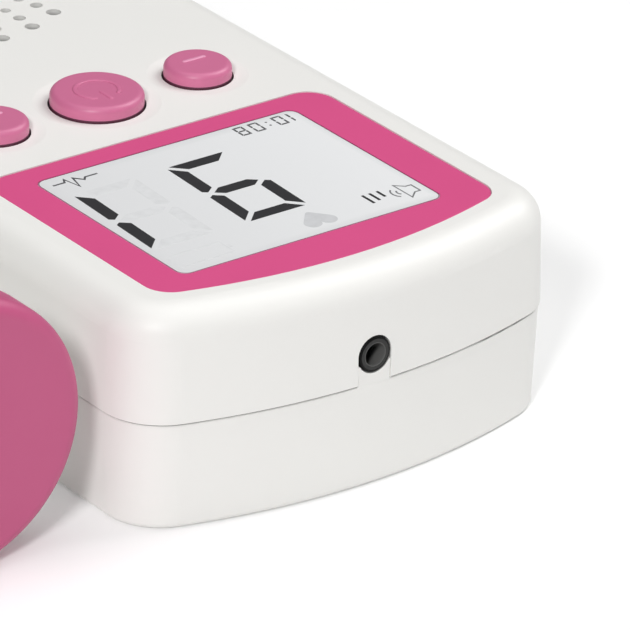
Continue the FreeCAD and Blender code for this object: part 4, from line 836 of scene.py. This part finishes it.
class DOPPLER_OT_keys(bpy.types.Operator):
    """Finish the three keys and raise their marks"""
    bl_idname = "doppler.keys"
    bl_label = "Keys"

    grain = 0.3 * MM
    ring_radius = 3.4 * MM
    ring_gap = 38.0          # half of the ring's opening, in degrees
    bar_start = 1.1 * MM
    bar_reach = 3.8 * MM
    sign_half = 1.8 * MM
    sign_back = 1.0 * MM     # the signs lie this far behind the middle of their keys
    # the signs' pink, lighter than the keys': painted highlight on the raised marks
    sign_highlight_pink = linear(224, 151, 183)
    ring_highlight_shade = 1.06        # painted highlight: the power key's marks, as a factor of the keys' pink
    painted_side_light = 1.16        # painted light on the keys' upright sides
    shadow_foot_lift = 0.04 * MM    # painted shade of the gap round a key ends this far above the case

    def marks(self, body, x, y):
        bar = [(x, y + self.bar_start), (x, y + self.bar_reach)]
        ring = arc((x, y), self.ring_radius, 90 + self.ring_gap, 450 - self.ring_gap, steps=36)
        sign_y = y - self.sign_back
        level = [(x - self.sign_half, sign_y), (x, sign_y), (x + self.sign_half, sign_y)]
        upright = [(x, sign_y - self.sign_half), (x, sign_y), (x, sign_y + self.sign_half)]
        return {"power_button": (ring, bar), "plus_button": (level, upright),
                "minus_button": (level,)}[body]

    def execute(self, context):
        pinks = context.scene.doppler_pink
        pink = tuple(pinks.keys)
        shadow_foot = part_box("top_shell")[1].z + self.shadow_foot_lift
        # keys: painted light on their sides, painted shade in the gap at their feet
        dress(moulded("key_pink", pink, roughness=0.42, grain=self.grain, lit_flank=self.painted_side_light,
                      shadow_foot=shadow_foot), *KEY_NODES.values())
        raised = {"roughness": 0.38, "grain": self.grain, "depth": 0.003 * MM}
        # marks lighter than their keys: painted highlight
        faint = moulded("ring_mark_highlight_pink", lighter(pink, self.ring_highlight_shade), **raised)
        clear = moulded("sign_mark_highlight_pink", self.sign_highlight_pink, **raised)
        for body, node in KEY_NODES.items():
            low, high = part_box(node)
            middle = (low + high) / 2
            bm = bmesh.new()
            for line in self.marks(body, middle.x, middle.y):
                bead(bm, line, pinks.mark_width, pinks.mark_height, high.z)
            finished_piece(node + "_mark", bm, faint if node == "power_key" else clear,
                           body, smooth=True)
        return {"FINISHED"}


class DOPPLER_OT_switches(bpy.types.Operator):
    """Finish the push switches under the keys"""
    bl_idname = "doppler.switches"
    bl_label = "Switches"

    def execute(self, context):
        black = moulded("switch_black", (0.03, 0.03, 0.03), roughness=0.5)
        white = moulded("plunger_white", (0.72, 0.72, 0.68), roughness=0.5)
        for name in KEY_NODES.values():
            dress(black, name.replace("key", "switch"))
            dress(white, name.replace("key", "plunger"))
        return {"FINISHED"}


class DOPPLER_OT_sockets(bpy.types.Operator):
    """Finish the headphone socket and the probe's socket"""
    bl_idname = "doppler.sockets"
    bl_label = "Sockets"

    bore = 1.9 * MM          # radius that takes in the wall of the headphone bore

    def execute(self, context):
        dress(socket_face("socket_face", ring=(0.042, 0.042, 0.041), bore_wall_light=(0.118, 0.118, 0.115),
                          bore=self.bore), "jack_sleeve", "headphone_jack")
        dress(moulded("socket_black", (0.035, 0.035, 0.036), roughness=0.45), "probe_socket")
        return {"FINISHED"}


class DOPPLER_OT_probe(bpy.types.Operator):
    """Finish the probe's cap, its crystals and what its handle holds"""
    bl_idname = "doppler.probe"
    bl_label = "Probe"

    def execute(self, context):
        cap = tuple(context.scene.doppler_pink.cap)
        dress(moulded("cap_pink", cap, roughness=0.5), "probe_cap")
        silver = metal("crystal_silver", (0.78, 0.77, 0.74), roughness=0.34, brush=(1.0, 1.0, 8.0))
        dress(silver, "piezo_transmit", "piezo_receive")
        dress(speckled("backing_resin", (0.16, 0.15, 0.15), fleck=(0.45, 0.44, 0.42),
                       size=0.5 * MM, share=0.2, roughness=0.6), "probe_backing")
        dress(speckled("gland_rubber", (0.58, 0.58, 0.57), fleck=(0.48, 0.48, 0.47),
                       size=0.3 * MM, share=0.2, roughness=0.75), "probe_gland")
        return {"FINISHED"}


class DOPPLER_OT_electronics(bpy.types.Operator):
    """Finish the boards and their parts"""
    bl_idname = "doppler.electronics"
    bl_label = "Electronics"

    def execute(self, context):
        dress(board("board_green", (0.015, 0.13, 0.05), copper=(0.65, 0.5, 0.2)), "main_pcb",
              "probe_pcb")
        dress(speckled("chip_epoxy", (0.022, 0.022, 0.023), fleck=(0.06, 0.06, 0.06),
                       size=0.2 * MM, share=0.2, roughness=0.55),
              "controller_chip", "amplifier_chip", "receiver_chip")
        dress(sleeve("capacitor_sleeve", (0.012, 0.016, 0.05), band=(0.6, 0.62, 0.66)),
              "capacitors")
        dress(metal("can_steel", (0.62, 0.62, 0.62), roughness=0.3, brush=(6.0, 1.0, 1.0)),
              "crystal_can")
        return {"FINISHED"}


class DOPPLER_OT_speaker(bpy.types.Operator):
    """Finish the loudspeaker behind the sound holes"""
    bl_idname = "doppler.speaker"
    bl_label = "Loudspeaker"

    def execute(self, context):
        low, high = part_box("speaker_frame")
        middle = (low + high) / 2
        dress(foam("gasket_foam", (0.03, 0.03, 0.03), pore=0.4 * MM), "speaker_gasket")
        dress(ringed("basket_steel", (0.09, 0.09, 0.095), roughness=0.4, middle=middle,
                     pitch=1.5 * MM, depth=0.01 * MM, metallic=0.8), "speaker_frame")
        dress(ringed("cone_paper", (0.022, 0.022, 0.022), roughness=0.7, middle=middle,
                     pitch=1.1 * MM, depth=0.12 * MM), "speaker_cone")
        dress(layered("coil_copper", dark=(0.35, 0.12, 0.05), light=(0.85, 0.42, 0.22), axis=2,
                      pitch=0.16 * MM, roughness=0.3, metallic=1.0), "speaker_coil")
        dress(speckled("magnet_ferrite", (0.045, 0.045, 0.05), fleck=(0.1, 0.1, 0.11),
                       size=0.3 * MM, share=0.25, roughness=0.6), "speaker_magnet")
        return {"FINISHED"}


class DOPPLER_OT_batteries(bpy.types.Operator):
    """Finish the two cells, their springs and their contacts"""
    bl_idname = "doppler.batteries"
    bl_label = "Batteries"

    def execute(self, context):
        for name, nub_side in (("battery_1", 1), ("battery_2", -1)):
            low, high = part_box(name)
            dress(jacket(name + "_jacket", (0.03, 0.035, 0.045), band=(0.62, 0.4, 0.12),
                         low=low.y, length=high.y - low.y, nub_side=nub_side), name)
        nickel = metal("contact_nickel", (0.7, 0.69, 0.66), roughness=0.26, brush=(1.0, 1.0, 6.0))
        dress(nickel, "battery_springs", "battery_link", "battery_terminal_plus",
              "battery_terminal_minus")
        return {"FINISHED"}


class DOPPLER_OT_fasteners(bpy.types.Operator):
    """Finish the screws"""
    bl_idname = "doppler.fasteners"
    bl_label = "Screws"

    def execute(self, context):
        zinc = metal("screw_zinc", (0.55, 0.56, 0.57), roughness=0.32, scratch=0.5 * MM)
        dress(zinc, "case_screws", "pcb_screws", "clip_screws", "probe_screws")
        return {"FINISHED"}


class DOPPLER_OT_stage(bpy.types.Operator):
    """Set the white floor, the soft lights and the camera"""
    bl_idname = "doppler.stage"
    bl_label = "Studio"

    aim = (16.35 * MM, 73.69 * MM, 34.9 * MM)
    lamp_distance = 1.6
    lamps = (                # name, degrees from the camera, degrees up, side in metres, watts
        ("front_light", -14.0, 35.0, 0.25, 15.3),
        ("top_light", 0.0, 88.0, 1.7, 12.0),
        ("back_light", 125.0, 45.0, 0.9, 14.8),
    )
    floor_half = 4.0
    floor_white = (0.84, 0.84, 0.84)
    floor_glow = 0.13
    sensor = 36.0
    clip_start = 0.01
    clip_end = 30.0

    def floor(self):
        bm = bmesh.new()
        bmesh.ops.create_grid(bm, x_segments=4, y_segments=4, size=self.floor_half)
        mesh = bpy.data.meshes.new("studio_floor")
        bm.to_mesh(mesh)
        bm.free()
        white = Finish("studio_white", self.floor_white, Roughness=0.9, Specular_IOR_Level=0.1,
                       Emission_Color=(*WHITE, 1.0), Emission_Strength=self.floor_glow)
        mesh.materials.append(white.material)
        ground = placed("studio_floor", mesh)

    def toward(self, turn, lift):
        """Direction from the unit at a bearing and a height above the horizon."""
        return Vector((math.sin(turn) * math.cos(lift), -math.cos(turn) * math.cos(lift),
                       math.sin(lift)))

    def softbox(self, name, turn, lift, side, power):
        lamp = bpy.data.lights.new(name, "AREA")
        lamp.size = side
        lamp.energy = power
        holder = placed(name, lamp)
        away = self.toward(turn, lift)
        holder.location = Vector(self.aim) + away * self.lamp_distance
        holder.rotation_mode = "QUATERNION"
        holder.rotation_quaternion = (-away).to_track_quat("-Z", "Y")

    def camera(self, studio):
        back = self.toward(studio.azimuth, studio.elevation)
        right = Vector((math.cos(studio.azimuth), math.sin(studio.azimuth), 0.0))
        up = back.cross(right)
        spin = studio.roll
        level = right * math.cos(spin) + up * math.sin(spin)
        upright = up * math.cos(spin) - right * math.sin(spin)
        lens = bpy.data.cameras.new("studio_camera")
        lens.sensor_width = self.sensor
        lens.lens = studio.focal_length
        lens.clip_start = self.clip_start
        lens.clip_end = self.clip_end
        holder = placed("studio_camera", lens)
        turned = Matrix((level, upright, back)).transposed().to_4x4()
        turned.translation = Vector(self.aim) + back * studio.distance
        holder.matrix_world = turned
        bpy.context.scene.camera = holder

    def surroundings(self, strength):
        world = bpy.data.worlds.new("studio_world")
        world.use_nodes = True
        sky = next(node for node in world.node_tree.nodes if node.type == "BACKGROUND")
        sky.inputs["Color"].default_value = (*WHITE, 1.0)
        sky.inputs["Strength"].default_value = strength
        bpy.context.scene.world = world

    def execute(self, context):
        studio = context.scene.doppler_studio
        self.floor()
        self.surroundings(studio.surrounding)
        for name, turn, lift, side, power in self.lamps:
            bearing = studio.azimuth + math.radians(turn)
            self.softbox(name, bearing, math.radians(lift), side, power)
        self.camera(studio)
        context.scene.view_settings.view_transform = "Standard"
        context.scene.view_settings.look = "None"
        return {"FINISHED"}


class DOPPLER_PT_panel(bpy.types.Panel):
    """Settings and steps of the doppler monitor's finish"""
    bl_idname = "DOPPLER_PT_panel"
    bl_label = "Fetal Doppler"
    bl_space_type = "VIEW_3D"
    bl_region_type = "UI"
    bl_category = "Doppler"

    def draw(self, context):
        for group in SETTINGS:
            settings = getattr(context.scene, group)
            column = self.layout.column(align=True)
            for name in settings.__annotations__:
                column.prop(settings, name)
        column = self.layout.column(align=True)
        for step in STEPS:
            column.operator(step.bl_idname)


SETTINGS = {
    "doppler_case": CaseSettings,
    "doppler_pink": PinkSettings,
    "doppler_display": DisplaySettings,
    "doppler_studio": StudioSettings,
}
STEPS = (
    DOPPLER_OT_case,
    DOPPLER_OT_surround,
    DOPPLER_OT_display,
    DOPPLER_OT_keys,
    DOPPLER_OT_switches,
    DOPPLER_OT_sockets,
    DOPPLER_OT_probe,
    DOPPLER_OT_electronics,
    DOPPLER_OT_speaker,
    DOPPLER_OT_batteries,
    DOPPLER_OT_fasteners,
    DOPPLER_OT_stage,
)


def register():
    for kind in (*SETTINGS.values(), *STEPS, DOPPLER_PT_panel):
        bpy.utils.register_class(kind)
    for name, kind in SETTINGS.items():
        setattr(bpy.types.Scene, name, PointerProperty(type=kind))


def unregister():
    for name in SETTINGS:
        delattr(bpy.types.Scene, name)
    for kind in reversed((*SETTINGS.values(), *STEPS, DOPPLER_PT_panel)):
        bpy.utils.unregister_class(kind)


def main():
    register()
    for step in STEPS:
        family, name = step.bl_idname.split(".")
        getattr(getattr(bpy.ops, family), name)()


if __name__ == "__main__":
    main()
